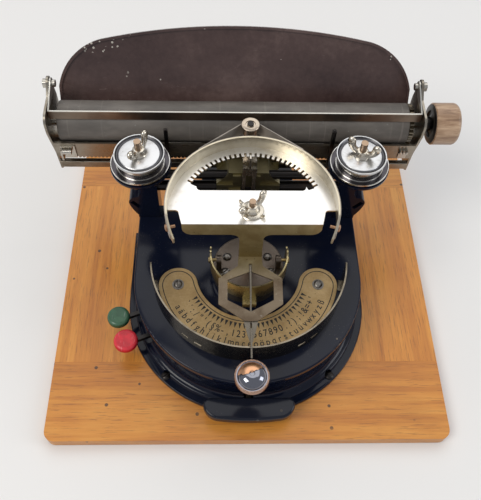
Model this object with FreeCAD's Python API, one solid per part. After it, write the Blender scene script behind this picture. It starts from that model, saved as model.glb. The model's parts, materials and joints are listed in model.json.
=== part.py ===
import FreeCAD
import Part
import math
import os

# Index typewriter on a wooden board.
# Frame: origin on the swing axis of the type sector, at the underside of the board.
# X points to the right of the typist, Y away from the typist, Z up. Millimetres.

V = FreeCAD.Vector
UP = V(0, 0, 1)
RIGHT = V(1, 0, 0)
BACK = V(0, 1, 0)

# Clearances
RUN = 0.06          # radial clearance of a shaft that turns in its bore
SLIDE = 0.15        # clearance of the carriage rails in their saddles
GAP = 0.3           # gap between curved faces of different bodies
PLAY = 1.0          # play between the knob lever and the yoke

# Board
board_width = 265.0
board_front = -103.0
board_depth = 261.0
board_thick = 9.0
board_corner = 7.0
cleat_depth = 54.0

# Base casting
base_y = -2.0           # centre of the round front of the casting
base_wall_r = 74.2
base_lip_r = base_wall_r + 2.8
base_flange_r = base_wall_r + 10.2
base_top = 48.0
base_back = 56.0
flange_thick = 3.0
casting_wall = 4.0
pedestal_half = 32.0
pedestal_back = 98.0
pedestal_top = 70.0

# Index plate, guide rail
index_outer_r = 61.1
index_inner_r = 35.1
index_end_angle = 12.5      # ends of the crescent, degrees in front of the X axis
index_thick = 1.2
rail_r = 63.9
rail_thick = 1.0
rail_height = 20.4
rail_end_angle = 4.0

# Hub
hub_disc_r = 23.8
hub_disc_thick = 9.0
hub_post_r = 4.6
hub_bore_post_r = 4.0
hub_stud_r = 2.0
lug_x = 19.6
lug_half = 1.6
lug_height = 11.0

# Yoke
yoke_r = 24.5
yoke_thick = 1.0
yoke_low = 58.2
yoke_high = 72.0
yoke_pin_z = 64.0
yoke_pin_r = 1.1

# Sector
sheet = 1.2
plate_top = 119.0
plate_front = -9.5
plate_half_front = 41.0
opening_half = 33.0
flange_drop = 11.0
stem_half = 7.2
stem_bottom = 83.3
frame_fall = 0.2            # fall of the hexagonal frame towards the knob, per unit length
comb_tip_r = 41.8
comb_root_r = 44.6
comb_pitch = 4.25           # degrees between neighbouring signs
signs = 30                  # notches in the comb, one for each sign
signs_left = 14             # signs to the left of the pointer at rest; its own notch holds the tooth
notch_width = 1.5
opening_front = 15.0
ring_r = 50.3
ring_wall = 1.0
ring_height = 10.2
ring_end = 116.0            # degrees from the rear on each side
band_thick = 0.5
band_end = 112.0
rivet_angle = 106.0

# Print arm and roller
arm_pivot_y = 47.0
arm_pivot_z = 60.0
arm_pin_r = 1.6
leg_x = 3.3
leg_half = 1.2
roller_y = 59.0
roller_r = 4.6
roller_flange_r = 5.9
roller_bore_r = 2.0
loop_thick = 0.6

# Knob
knob_y = -83.0
knob_r = 10.3
knob_height = 8.5
lever_half = 0.5

# Spools and their standards
spool_x = base_lip_r - 8.5
spool_y = 40.0
spool_can_r = 14.7
spool_flange_r = 18.4
spool_cover_r = 15.7
spool_seat = 113.9
spool_flange_thick = 1.0
spool_can_height = 6.4
cover_thick = 0.8
post_r = 2.2
standard_in = base_lip_r - 15.5
standard_out = base_lip_r
standard_front = 45.5
standard_back = 58.0
dish_r = 19.0
dish_depth = 6.0

# Cross rods
rod_high_y = 54.0
rod_high_z = 86.4
rod_high_r = 3.1
rod_low_y = 53.6
rod_low_z = 75.0
rod_low_r = 3.7

# Carriage, at its photographed place
carriage_left = -129.2
carriage_right = 112.0
end_thick = 1.5
platen_y = 78.5
platen_z = 110.7
platen_r = 13.4
rubber_wall = 1.6
platen_left = -123.6
platen_right = 104.2
shaft_r = 2.0
ratchet_teeth = 30
ratchet_width = 2.8
feed_r = 4.0
rail_width = 3.5
rail_tall = 5.7
rail_low = 79.8
front_rail_y = 65.0
rear_rail_y = 90.0
saddle_half = 21.5
saddle_top_half = 13.5
saddle_front = 48.9
saddle_low = 70.0
saddle_top = 92.0
wood_left = 121.8
wood_width = 16.8
wood_r = 13.8
bail_y = 69.2
bail_low = 121.9
bail_high = 128.6
bail_thick = 0.9
bail_pivot_y = 89.5
bail_pivot_z = 133.0
bail_pin_r = 1.5

# Paper table
table_half = 117.0
table_y = 98.0
table_z = 110.1
table_lean = 30.0
table_below = 17.0
table_shoulder = 10.0
table_knee_x = 88.0
table_knee = 39.5
table_top = 48.5
table_sheet = 1.0
table_rim = 1.3

# Keys and space bar
bar_half = 29.3
bar_back = base_y - base_wall_r - 4.0
bar_front = bar_back - 14.8
bar_top = 25.5
bar_thick = 6.0
bar_pivot_y = -30.0
bar_pivot_z = 25.0
key_lean = 22.0             # direction of the key levers, degrees from X
key_z = 23.5
key_reach = 52.0
key_out = 16.8              # from the wall of the casting to the middle of a key
green_angle = 14.0          # places of the keys, degrees in front of the X axis
red_angle = 25.8
key_cap_high = 5.0
pin_r = 1.5

# Screws
screw_r = 3.0
screw_head = 1.6


def box(x0, x1, y0, y1, z0, z1):
    return Part.makeBox(x1 - x0, y1 - y0, z1 - z0, V(x0, y0, z0))


def cylinder(radius, start, axis, length):
    return Part.makeCylinder(radius, length, start, axis)


def tube(outer, inner, start, axis, length):
    return cylinder(outer, start, axis, length).cut(cylinder(inner, start, axis, length))


def wire(items):
    # A closed outline. An item is a point, or a pair (middle, end) for an arc.
    edges = []
    start = items[0]
    here = start
    for item in items[1:] + [start]:
        if isinstance(item, tuple):
            edges.append(Part.Arc(here, item[0], item[1]).toShape())
            here = item[1]
        elif item.distanceToPoint(here) > 1e-6:
            edges.append(Part.makeLine(here, item))
            here = item
    return Part.Wire(edges)


def flat(items):
    return Part.Face(wire(items))


def turned(points, degrees=360, start=V(1, 0, 0)):
    # Revolve an outline given as (radius, height) about the Z axis.
    def place(p):
        if len(p) == 2 and isinstance(p[0], tuple):
            return (place(p[0]), place(p[1]))
        return V(start.x * p[0], start.y * p[0], p[1])
    face = flat([place(p) for p in points])
    return face.revolve(V(0, 0, 0), UP, degrees)


def moved(shape, x, y, z):
    return shape.translated(V(x, y, z))


def turn(shape, centre, axis, degrees):
    out = shape.copy()
    out.rotate(centre, axis, degrees)
    return out


def mirror_x(shape):
    return shape.mirror(V(0, 0, 0), RIGHT)


def fuse(shapes):
    return shapes[0].multiFuse(shapes[1:]).removeSplitter()


def polar(radius, degrees, z=0.0):
    # Degrees are measured from the rear (+Y), positive towards +X.
    a = math.radians(degrees)
    return V(radius * math.sin(a), radius * math.cos(a), z)


def arc_strip(inner, outer, low, high, first, last):
    # An upright strip bent about the Z axis, between two angles from the rear.
    mid = (first + last) / 2
    face = flat([
        polar(inner, first, low),
        (polar(inner, mid, low), polar(inner, last, low)),
        polar(outer, last, low),
        (polar(outer, mid, low), polar(outer, first, low)),
    ])
    return face.extrude(V(0, 0, high - low))


def d_block(points, back):
    # Round in front, straight at the sides: the outline holds (radius, height).
    def place(p, side):
        if len(p) == 2 and isinstance(p[0], tuple):
            return (place(p[0], side), place(p[1], side))
        return V(side * p[0], base_y, p[1])
    face = flat([place(p, 1) for p in points])
    front = face.revolve(V(0, base_y, 0), UP, -180)
    long = V(0, back - base_y, 0)
    right = face.extrude(long)
    left = flat([place(p, -1) for p in points]).extrude(long)
    return fuse([front, right, left])


def slotted_head(radius, height, slot=0.8):
    # A low domed screw head with its slot, standing on z = 0.
    head = turned([(0, 0), (radius, 0), (radius, height * 0.45),
                   ((radius * 0.72, height * 0.85), (0, height))])
    return head.cut(box(-radius, radius, -slot / 2, slot / 2, height * 0.45, height + 1))


def make_board():
    half = board_width / 2
    back = board_front + board_depth
    whole = box(-half, half, board_front, back, 0, board_thick)
    upright = [e for e in whole.Edges if abs(e.BoundBox.ZLength - board_thick) < 1e-6]
    whole = whole.makeFillet(board_corner, upright)
    front_seam = board_front + cleat_depth
    rear_seam = back - cleat_depth
    front = whole.common(box(-half, half, board_front, front_seam, 0, board_thick))
    rear = whole.common(box(-half, half, rear_seam, back, 0, board_thick))
    # The middle panel has a tongue at each end that sits in a groove of the cleat.
    tongue = 8.0
    thick = 3.0
    low = (board_thick - thick) / 2
    panel = box(-half, half, front_seam, rear_seam, 0, board_thick)
    inset = 20.0
    front_tongue = box(-half + inset, half - inset, front_seam - tongue, front_seam, low, low + thick)
    rear_tongue = box(-half + inset, half - inset, rear_seam, rear_seam + tongue, low, low + thick)
    panel = fuse([panel, front_tongue, rear_tongue])
    holes = Part.makeCompound([
        cylinder(screw_r / 2, V(p.x, p.y, board_thick - 6.0), UP, 7) for p in flange_screw_places()])
    return panel.cut(holes), front.cut(front_tongue).cut(holes), rear.cut(rear_tongue)


def flange_screw_places():
    places = []
    for side in (-1, 1):
        ring = base_flange_r - 3.8
        front = polar(ring, 180 + side * 43.5)
        places.append(V(front.x, base_y + front.y, 0))
        places.append(V(side * ring, base_back - 12.0, 0))
    return places


def key_line(tip):
    a = math.radians(key_lean)
    along = V(math.cos(a), math.sin(a), 0)
    return tip, tip + along * key_reach, along


def key_tip(angle):
    place = polar(base_wall_r + key_out, -90 - angle, key_z)
    return place + V(0, base_y, 0)


green_tip = key_tip(green_angle)
red_tip = key_tip(red_angle)


def make_base():
    # One casting in the real object: its wall, deck and pedestal meet on flat faces.
    low = board_thick
    top_flange = low + flange_thick
    wall = base_wall_r
    lip = base_lip_r
    deck_low = base_top - casting_wall
    inner_r = wall - casting_wall
    outer = d_block([
        (0, low), (base_flange_r, low), (base_flange_r, top_flange - 0.8),
        ((base_flange_r - 0.25, top_flange - 0.2), (base_flange_r - 0.9, top_flange)),
        (wall + 5.4, top_flange), (wall + 5.4, top_flange + 1.6),
        ((wall + 4.9, top_flange + 2.5), (wall + 4.0, top_flange + 3.0)),
        ((wall + 1.2, top_flange + 4.2), (wall, top_flange + 7.6)),
        (wall, base_top - 8.0),
        ((wall + 0.7, base_top - 5.6), (lip - 0.4, base_top - 4.4)),
        (lip, deck_low), (0, deck_low),
    ], base_back)
    inner = d_block([(0, low - 1), (inner_r, low - 1), (inner_r, base_top), (0, base_top)],
                    base_back - casting_wall)
    shell = outer.cut(inner)
    deck = d_block([
        (0, deck_low), (lip, deck_low), (lip, base_top - 1.2),
        ((lip - 0.35, base_top - 0.35), (lip - 1.2, base_top)), (0, base_top),
    ], base_back)

    # The pedestal behind carries the rear saddle of the carriage.
    block = box(-pedestal_half, pedestal_half, base_back - casting_wall, pedestal_back, low, pedestal_top)
    upright = [e for e in block.Edges
               if e.BoundBox.ZLength > 1 and abs(e.BoundBox.YMin - pedestal_back) < 1e-6]
    block = block.makeFillet(6.0, upright)
    room = box(-pedestal_half + casting_wall, pedestal_half - casting_wall,
               base_back, pedestal_back - casting_wall, low - 1, pedestal_top - casting_wall)
    front = box(-pedestal_half - 1, pedestal_half + 1, 0, base_back, low - 1, base_top)
    # A low opening leaves the rear of the pedestal free under the carriage.
    gate = box(-pedestal_half + 9, pedestal_half - 9, base_back + 6, pedestal_back + 1, low - 1, 30)
    pedestal = block.cut(room).cut(front).cut(gate)

    # Under the deck: the boss of the hub post, and lugs for the levers of the space bar and keys.
    under = [cylinder(9.0, V(0, 0, base_top - 16), UP, 16 - casting_wall / 2)]
    for side in (-1, 1):
        inner_x = min(side * 2.2, side * 4.7)
        under.append(box(inner_x, inner_x + 2.5, bar_pivot_y - 4, bar_pivot_y + 4, bar_pivot_z - 4, base_top - 2))
    for tip in (green_tip, red_tip):
        start, pivot, along = key_line(tip)
        for side in (-1, 1):
            inner_y = min(side * 2.0, side * 4.5)
            lug = box(-4, 4, inner_y, inner_y + 2.5, key_z - 4, base_top - 2)
            lug = turn(lug, V(0, 0, 0), UP, key_lean)
            under.append(moved(lug, pivot.x, pivot.y, 0))
    deck = fuse([deck] + under)
    deck = deck.cut(cylinder(hub_bore_post_r + RUN, V(0, 0, low), UP, base_top))
    side_pin = pin_r + RUN
    deck = deck.cut(cylinder(side_pin, V(-6, bar_pivot_y, bar_pivot_z), RIGHT, 12))

    # Ways through the wall for the three levers.
    front_wall = base_y - wall
    shell = shell.cut(box(-3.2, 3.2, front_wall - 6.2, front_wall + 8, bar_pivot_z - 12, bar_pivot_z + 4))
    for tip in (green_tip, red_tip):
        start, pivot, along = key_line(tip)
        across = UP.cross(along)
        deck = deck.cut(cylinder(side_pin, pivot - across * 6, across, 12))
        slot = box(-2, 30, -2.6, 2.6, key_z - 8.3, key_z + 7.0)
        slot = turn(slot, V(0, 0, 0), UP, key_lean)
        shell = shell.cut(moved(slot, start.x + 6, start.y + 6 * math.tan(math.radians(key_lean)), 0))

    for place in flange_screw_places():
        shell = shell.cut(cylinder(screw_r / 2 + 0.1, V(place.x, place.y, 0), UP, 20))
        shell = shell.cut(cylinder(screw_r + 0.3, V(place.x, place.y, top_flange), UP, 5))
    for place in frame_screw_places():
        hole = cylinder(screw_r / 2 - 0.1, V(place.x, place.y, base_top - 9), UP, 10)
        deck = deck.cut(hole)
        shell = shell.cut(hole)
    for place in index_screw_places() + disc_screw_places():
        deck = deck.cut(cylinder(screw_r / 2 - 0.1, V(place.x, place.y, base_top - 6), UP, 7))

    # Print arm lugs stand on the deck in front of the cross rods.
    for side in (-1, 1):
        x0 = min(side * (leg_x + leg_half + GAP), side * (leg_x + leg_half + GAP + 2.6))
        lug = box(x0, x0 + 2.6, arm_pivot_y - 4, arm_pivot_y + 4, base_top - 1, arm_pivot_z)
        lug = fuse([lug, cylinder(4, V(x0, arm_pivot_y, arm_pivot_z), RIGHT, 2.6)])
        deck = fuse([deck, lug])
    deck = deck.cut(cylinder(arm_pin_r - 0.01, V(-12, arm_pivot_y, arm_pivot_z), RIGHT, 24))
    return shell, deck, pedestal


def wood_screw(place, seat, length):
    shank = cylinder(screw_r / 2, V(0, 0, -length), UP, length)
    head = slotted_head(screw_r, screw_head)
    one = fuse([shank, head])
    return moved(turn(one, V(0, 0, 0), UP, 35), place.x, place.y, seat)


def index_screw_places():
    mid = (index_outer_r + index_inner_r) / 2
    return [polar(mid, 90 + index_end_angle), polar(mid, -90 - index_end_angle)]


def disc_screw_places():
    return [V(-14.2, 6.5, 0), V(13.0, 6.5, 0), V(-15.5, -5.5, 0), V(15.0, -5.5, 0)]


def frame_screw_places():
    places = []
    for side in (-1, 1):
        for y in (standard_front + 3.4, standard_back - 5.2):
            places.append(V(side * (standard_in + 3.8), y, 0))
    return places


def make_index_plate():
    end = 90 + index_end_angle
    half = (index_outer_r - index_inner_r) / 2
    mid = (index_outer_r + index_inner_r) / 2

    def cap(side):
        centre = polar(mid, side * end, base_top)
        tangent = V(math.cos(math.radians(side * end)), -math.sin(math.radians(side * end)), 0)
        return centre - tangent * half * side

    face = flat([
        polar(index_inner_r, end, base_top),
        (polar(index_inner_r, 180, base_top), polar(index_inner_r, -end, base_top)),
        (cap(-1), polar(index_outer_r, -end, base_top)),
        (polar(index_outer_r, 180, base_top), polar(index_outer_r, end, base_top)),
        (cap(1), polar(index_inner_r, end, base_top)),
    ])
    plate = face.extrude(V(0, 0, index_thick))
    for place in index_screw_places():
        plate = plate.cut(cylinder(screw_r / 2 + 0.15, V(place.x, place.y, base_top - 1), UP, 4))
    return plate


def make_index_screws():
    out = []
    for place in index_screw_places():
        washer = tube(3.9, screw_r / 2 + 0.15, V(place.x, place.y, base_top + index_thick), UP, 0.5)
        shank = cylinder(screw_r / 2 - 0.1, V(0, 0, -6), UP, 6)
        one = fuse([shank, slotted_head(2.9, 1.5)])
        out.append(washer)
        out.append(moved(turn(one, V(0, 0, 0), UP, 80), place.x, place.y, base_top + index_thick + 0.5))
    return Part.makeCompound(out)


def make_guide_rail():
    first = 90 + rail_end_angle
    strip = arc_strip(rail_r - rail_thick / 2, rail_r + rail_thick / 2,
                      base_top, base_top + rail_height, first, 360 - first)
    # Four oval holes near the foot of the rail.
    for angle in (140.5, 149.5, 210.5, 219.5):
        hole = box(-1.9, 1.9, rail_r - 3, rail_r + 3, 0, 2.2)
        ends = [cylinder(1.1, V(x, rail_r - 3, 1.1), BACK, 6) for x in (-1.9, 1.9)]
        hole = turn(fuse([hole] + ends), V(0, 0, 0), UP, -angle)
        strip = strip.cut(moved(hole, 0, 0, base_top + 4.5))
    # Feet turned inwards hold the rail on the deck.
    feet = []
    for angle in (100, 180, 260):
        foot = box(-4, 4, rail_r - 2.6, rail_r, 0, 1.0)
        feet.append(moved(turn(foot, V(0, 0, 0), UP, -angle), 0, 0, base_top))
    return fuse([strip] + feet)


def make_hub_disc():
    top = base_top + hub_disc_thick
    disc = turned([(0, base_top), (hub_disc_r, base_top), (hub_disc_r, top - 0.8),
                   (hub_disc_r - 0.8, top), (0, top)])
    lugs = []
    for side in (-1, 1):
        x0 = side * lug_x - lug_half
        lug = box(x0, x0 + 2 * lug_half, -3.2, 3.2, top - 1, yoke_pin_z)
        lugs.append(fuse([lug, cylinder(3.2, V(x0, 0, yoke_pin_z), RIGHT, 2 * lug_half)]))
    disc = fuse([disc] + lugs)
    disc = disc.cut(cylinder(hub_bore_post_r + RUN, V(0, 0, base_top - 1), UP, hub_disc_thick + 2))
    reach = lug_x + 3 * lug_half
    disc = disc.cut(cylinder(yoke_pin_r + RUN, V(-reach, 0, yoke_pin_z), RIGHT, 2 * reach))
    for place in disc_screw_places():
        disc = disc.cut(cylinder(screw_r / 2 + 0.1, V(place.x, place.y, base_top - 1), UP, hub_disc_thick + 3))
    return disc


def make_disc_screws():
    out = []
    for number, place in enumerate(disc_screw_places()):
        shank = cylinder(screw_r / 2 - 0.1, V(0, 0, -hub_disc_thick - 5), UP, hub_disc_thick + 5)
        if number < 2:
            head = turned([(0, 0), (2.9, 0), (2.9, 0.6), ((2.1, 1.7), (0.4, 2.2)), (0, 2.2)])
        else:
            head = slotted_head(3.2, 1.5, 0.9)
        one = turn(fuse([shank, head]), V(0, 0, 0), UP, 35)
        out.append(moved(one, place.x, place.y, base_top + hub_disc_thick))
    return Part.makeCompound(out)


def make_yoke():
    outer = yoke_r + yoke_thick
    band = arc_strip(yoke_r, outer, yoke_low, yoke_high, 90, 270)
    # Ears at the two ends hold the pivot pins.
    ears = []
    for side in (-1, 1):
        x0 = min(side * yoke_r, side * outer)
        ear = box(x0, x0 + yoke_thick, -1.5, 6.5, yoke_low, yoke_pin_z + 6)
        ear = fuse([ear, cylinder(4.2, V(x0, 0.8, yoke_pin_z + 5), RIGHT, yoke_thick)])
        ears.append(ear)
    # A narrow tab in front is bent outwards and down.
    tab = box(-4.4, 4.4, -outer - 5.0, -yoke_r - 0.2, yoke_low, yoke_low + 1.1)
    lip = box(-4.4, 4.4, -outer - 5.0, -outer - 3.9, yoke_low - 3.0, yoke_low + 1.1)
    yoke = fuse([band, tab, lip] + ears)
    return yoke.cut(cylinder(yoke_pin_r, V(-30, 0, yoke_pin_z), RIGHT, 60))


def make_yoke_pins():
    out = []
    for side in (-1, 1):
        inner = side * (lug_x - lug_half)
        outer = side * (yoke_r + yoke_thick)
        pin = cylinder(yoke_pin_r, V(inner, 0, yoke_pin_z), RIGHT * side, abs(outer - inner))
        head = cylinder(2.1, V(outer, 0, yoke_pin_z), RIGHT * side, 1.0)
        out.append(fuse([pin, head]))
    return Part.makeCompound(out)


def tilted(shape):
    # From the flat frame, with its origin at the bend under the stem, to its place.
    out = turn(shape, V(0, 0, 0), RIGHT, math.degrees(math.atan(frame_fall)))
    return moved(out, 0, plate_front, stem_bottom)


LEVER_PIN = V(0, -3.4, -3.2)    # in the flat frame
lever_pin_r = 0.9


def both_sides(items):
    # Close an outline that is given for x >= 0 only, by its mirror image.
    ends = [item[1] if isinstance(item, tuple) else item for item in items]
    left = []
    for number in range(len(items) - 1, -1, -1):
        point = V(-ends[number].x, ends[number].y, ends[number].z)
        after = items[number + 1] if number + 1 < len(items) else None
        if isinstance(after, tuple):
            left.append((V(-after[0].x, after[0].y, after[0].z), point))
        elif point.x < -1e-6:
            left.append(point)
    return flat(items + left)


def make_sector_frame():
    low = plate_top - sheet
    inner = ring_r - ring_wall
    # Plate inside the ring, cut back in front of the hub line.
    disc = cylinder(inner, V(0, 0, low), UP, sheet)
    disc = disc.cut(box(-60, 60, -60, 0.5, low - 1, plate_top + 1))
    front = both_sides([
        V(0, plate_front, low), V(plate_half_front, plate_front, low), V(plate_half_front + 1.9, -1.8, low),
        (V(plate_half_front + 2.5, -0.2, low), V(plate_half_front + 4.0, 0.5, low)), V(0, 1.0, low),
    ]).extrude(V(0, 0, sheet))
    plate = fuse([disc, front])
    # The opening, with the comb of notches along its rear edge.
    left_edge = -(signs_left + 0.5) * comb_pitch
    right_edge = left_edge + signs * comb_pitch
    opening = cylinder(comb_tip_r, V(0, 0, low - 1), UP, sheet + 2)
    opening = opening.cut(box(-60, 60, -60, opening_front, low - 2, plate_top + 2))
    opening = opening.cut(box(opening_half, 60, -10, 60, low - 2, plate_top + 2))
    opening = opening.cut(box(-60, -opening_half, -10, 60, low - 2, plate_top + 2))
    corners = [e for e in opening.Edges if e.BoundBox.ZLength > 1 and e.BoundBox.YMax < opening_front + 0.1]
    opening = opening.makeFillet(2.6, corners)
    rim = arc_strip(comb_tip_r - 4.2, comb_tip_r, low - 1, plate_top + 1, left_edge, right_edge)
    cuts = [opening, rim]
    for step in range(signs):
        notch = box(-notch_width / 2, notch_width / 2, comb_tip_r - 1, comb_root_r, low - 1, plate_top + 1)
        cuts.append(turn(notch, V(0, 0, 0), UP, (signs_left - step) * comb_pitch))
    plate = plate.cut(fuse(cuts))
    plate = plate.cut(cylinder(hub_stud_r + 0.1, V(0, 0, low - 1), UP, sheet + 2))
    # Front flange and stem in one upright sheet.
    flange_low = plate_top - flange_drop
    round_r = 6.0
    cut = round_r * (1 - math.sqrt(0.5))
    width = plate_half_front
    upright = upright_sheet(width, flange_low, round_r, cut)
    upright = upright.extrude(V(0, sheet, 0))
    # Hexagonal frame with its window and the slot of the lever.
    reach = 1.0198
    hexagon = both_sides([
        V(0, sheet, 0), V(stem_half, sheet, 0), V(stem_half + 0.6, -6.0 * reach, 0),
        V(19.7, -14.0 * reach, 0), V(19.7, -30.0 * reach, 0), V(4.2, -40.2 * reach, 0),
        V(0, -40.6 * reach, 0),
    ])
    window = both_sides([
        V(0, -9.6 * reach, 0), V(14.2, -15.0 * reach, 0), V(14.2, -27.6 * reach, 0), V(0, -34.8 * reach, 0),
    ])
    frame = hexagon.cut(window).extrude(V(0, 0, -sheet))
    frame = frame.cut(box(-lever_half - GAP, lever_half + GAP, -11, -4.6, -sheet - 1, 1))
    lugs = []
    for side in (-1, 1):
        x0 = min(side * 1.2, side * 3.0)
        lugs.append(box(x0, x0 + 1.8, LEVER_PIN.y - 1.9, LEVER_PIN.y + 1.9, LEVER_PIN.z - 1.9, -sheet + 0.2))
    frame = fuse([frame] + lugs)
    frame = frame.cut(cylinder(lever_pin_r + RUN, V(-6, LEVER_PIN.y, LEVER_PIN.z), RIGHT, 12))
    return fuse([plate, upright, tilted(frame)])


def upright_sheet(width, flange_low, round_r, cut):
    bottom = stem_bottom - sheet * 0.5
    y = plate_front
    right = [
        V(width, y, plate_top), V(width, y, flange_low + round_r),
        (V(width - cut, y, flange_low + cut), V(width - round_r, y, flange_low)),
        V(stem_half + 5, y, flange_low),
        (V(stem_half + 1.5, y, flange_low - 1.5), V(stem_half, y, flange_low - 5)),
        V(stem_half, y, bottom), V(-stem_half, y, bottom), V(-stem_half, y, flange_low - 5),
        (V(-stem_half - 1.5, y, flange_low - 1.5), V(-stem_half - 5, y, flange_low)),
        V(-width + round_r, y, flange_low),
        (V(-width + cut, y, flange_low + cut), V(-width, y, flange_low + round_r)),
        V(-width, y, plate_top),
    ]
    return flat(right)


def make_type_ring():
    low = plate_top - sheet
    high = low + ring_height
    ring = arc_strip(ring_r - ring_wall, ring_r, low, high, -ring_end, ring_end)
    # The free ends fall away from full height to a narrow tongue.
    for side in (-1, 1):
        tip = polar(ring_r, side * ring_end)
        start = polar(ring_r, side * (ring_end - 16))
        span = flat([
            V(side * 20, start.y, high + 1), V(side * 20, start.y, high),
            V(side * 20, tip.y, low + 4.2), V(side * 20, tip.y - 4, low + 4.2),
            V(side * 20, tip.y - 4, high + 1),
        ]).extrude(V(side * 40, 0, 0))
        ring = ring.cut(span)
    holes = [rivet_body(side, 0.0) for side in (-1, 1)]
    return ring.cut(Part.makeCompound(holes))


rivet_r = 0.9


def rivet_body(side, extra):
    low = plate_top - sheet + 4.0
    start = polar(ring_r - ring_wall - 3.2, side * rivet_angle, low)
    out = polar(1, side * rivet_angle)
    return cylinder(rivet_r + extra, start, out, 3.2 + ring_wall + band_thick)


def make_type_band():
    low = plate_top - sheet + 0.2
    band = arc_strip(ring_r, ring_r + band_thick, low, low + ring_height - 0.4, -band_end, band_end)
    for side in (-1, 1):
        start = polar(ring_r, side * (band_end - 12))
        tip = polar(ring_r, side * band_end)
        high = low + ring_height + 1
        band = band.cut(flat([
            V(side * 20, start.y, high), V(side * 20, start.y, high - 1.4),
            V(side * 20, tip.y, low + 5.0), V(side * 20, tip.y - 4, low + 5.0), V(side * 20, tip.y - 4, high),
        ]).extrude(V(side * 40, 0, 0)))
    return band.cut(Part.makeCompound([rivet_body(side, 0.0) for side in (-1, 1)]))


def make_rivets():
    out = []
    for side in (-1, 1):
        low = plate_top - sheet + 4.0
        away = polar(1, side * rivet_angle)
        seat = polar(ring_r + band_thick, side * rivet_angle, low)
        head = turned([(0, 0), (2.3, 0), (2.2, 0.7), ((1.4, 1.15), (0.3, 1.3)), (0, 1.3)])
        head.Placement = FreeCAD.Placement(seat, FreeCAD.Rotation(UP, away))
        out.append(fuse([rivet_body(side, 0.0), head]))
    return Part.makeCompound(out)


def make_pointer():
    # A thin plate held in the blade of the lever, under the hexagonal frame.
    reach = 1.0198
    rear = -33.9 * reach
    face = both_sides([
        V(0, rear, 0), V(4.4, rear, 0), V(4.2, -41.0 * reach, 0), V(2.8, -46.5 * reach, 0),
        V(0.9, -52.7 * reach, 0), V(0, -53.1 * reach, 0),
    ])
    plate = face.extrude(V(0, 0, -1.1))
    plate = moved(plate, 0, 0, -sheet - SLIDE)
    slot = box(-lever_half, lever_half, -48.0, rear + 1, -4, 0)
    plate = plate.cut(slot)
    return tilted(plate)


def make_knob_lever():
    # One upright sheet: pivot at the rear, a tongue above the yoke, then the bar to the knob.
    top = 2.2
    under = -sheet - 0.35
    profile = [
        V(0, -1.4, -5.0), V(0, -1.4, -1.9), V(0, -5.2, -1.6), V(0, -5.2, top - 0.6),
        V(0, -6.2, top), V(0, -24.0, top),
        V(0, -33.0, under), V(0, -42.0, under), V(0, -46.0, 1.4), V(0, -64.0, 1.4),
        V(0, -64.0, -0.5), V(0, -48.0, -0.5), V(0, -44.0, -3.6), V(0, -30.0, -3.6),
        V(0, -21.4, lever_belly()), V(0, -13.4, lever_belly()), V(0, -11.0, -5.0),
    ]
    sheet_face = flat(profile)
    blade = moved(sheet_face.extrude(V(2 * lever_half, 0, 0)), -lever_half, 0, 0)
    pin = cylinder(lever_pin_r, V(-3.4, LEVER_PIN.y, LEVER_PIN.z), RIGHT, 6.8)
    return tilted(fuse([blade, pin]))


def lever_belly():
    # Height, in the flat frame, of the tongue's lower edge above the yoke.
    fall = math.atan(frame_fall)
    dy = -yoke_r - plate_front
    dz = yoke_high + PLAY - stem_bottom
    return -dy * math.sin(fall) + dz * math.cos(fall)


def make_knob():
    base = knob_base_z()
    body = turned([
        (0, 0), (knob_r - 2.2, 0), ((knob_r - 0.4, 0.5), (knob_r, 2.0)), (knob_r, 3.6),
        ((knob_r - 0.3, 4.2), (knob_r - 1.0, 4.4)), (knob_r - 1.6, 4.3),
        ((knob_r - 4.5, knob_height - 0.9), (1.6, knob_height)),
        (1.3, knob_height - 0.5), (0, knob_height - 0.5),
    ])
    body = moved(body, 0, knob_y, base)
    # Underneath, the knob is slit for the end of the lever.
    lever = make_knob_lever()
    return body.cut(lever)


def knob_base_z():
    fall = math.atan(frame_fall)
    along = (plate_front - knob_y) / math.cos(fall)
    return stem_bottom - along * math.sin(fall) - 2.0


def make_hub_post():
    low = base_top - 23
    shoulder = base_top + hub_disc_thick + 0.3
    top = plate_top - sheet
    post = turned([
        (0, low), (hub_bore_post_r, low), (hub_bore_post_r, shoulder), (hub_post_r, shoulder),
        (hub_post_r, top), (hub_stud_r, top), (hub_stud_r, plate_top + 9.5), (0, plate_top + 9.5),
    ])
    collar = tube(6.5, hub_bore_post_r - 0.5, V(0, 0, low), UP, 6)
    return fuse([post, collar])


def wing_nut(stud, wing_x=9.0, wing_high=12.0):
    # A collar with two upswept wings, standing on z = 0.
    collar = turned([(0, 0), (4.6, 0), (4.6, 0.8), ((4.0, 1.3), (3.7, 2.2)), (3.3, 4.6), (0, 4.6)])
    wings = []
    for side in (-1, 1):
        points = [
            V(side * 2.0, 0, 0.6), V(side * 4.4, 0, 0.6),
            (V(side * 7.4, 0, 3.2), V(side * wing_x, 0, wing_high - 2.4)),
            (V(side * (wing_x - 0.4), 0, wing_high), V(side * (wing_x - 2.6), 0, wing_high - 1.4)),
            (V(side * 4.9, 0, 4.8), V(side * 2.0, 0, 3.8)),
        ]
        wings.append(moved(flat(points).extrude(V(0, 2.4, 0)), 0, -1.2, 0))
    nut = fuse([collar] + wings)
    return nut.cut(cylinder(stud, V(0, 0, -1), UP, 20))


def make_hub_nut():
    washer = turned([(hub_stud_r, 0), (7.0, 0), (7.0, 0.5), (5.6, 0.9), (hub_stud_r, 0.9)])
    nut = moved(wing_nut(hub_stud_r), 0, 0, 0.9)
    both = Part.makeCompound([washer, turn(nut, V(0, 0, 0), UP, 55)])
    return moved(both, 0, 0, plate_top)


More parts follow.
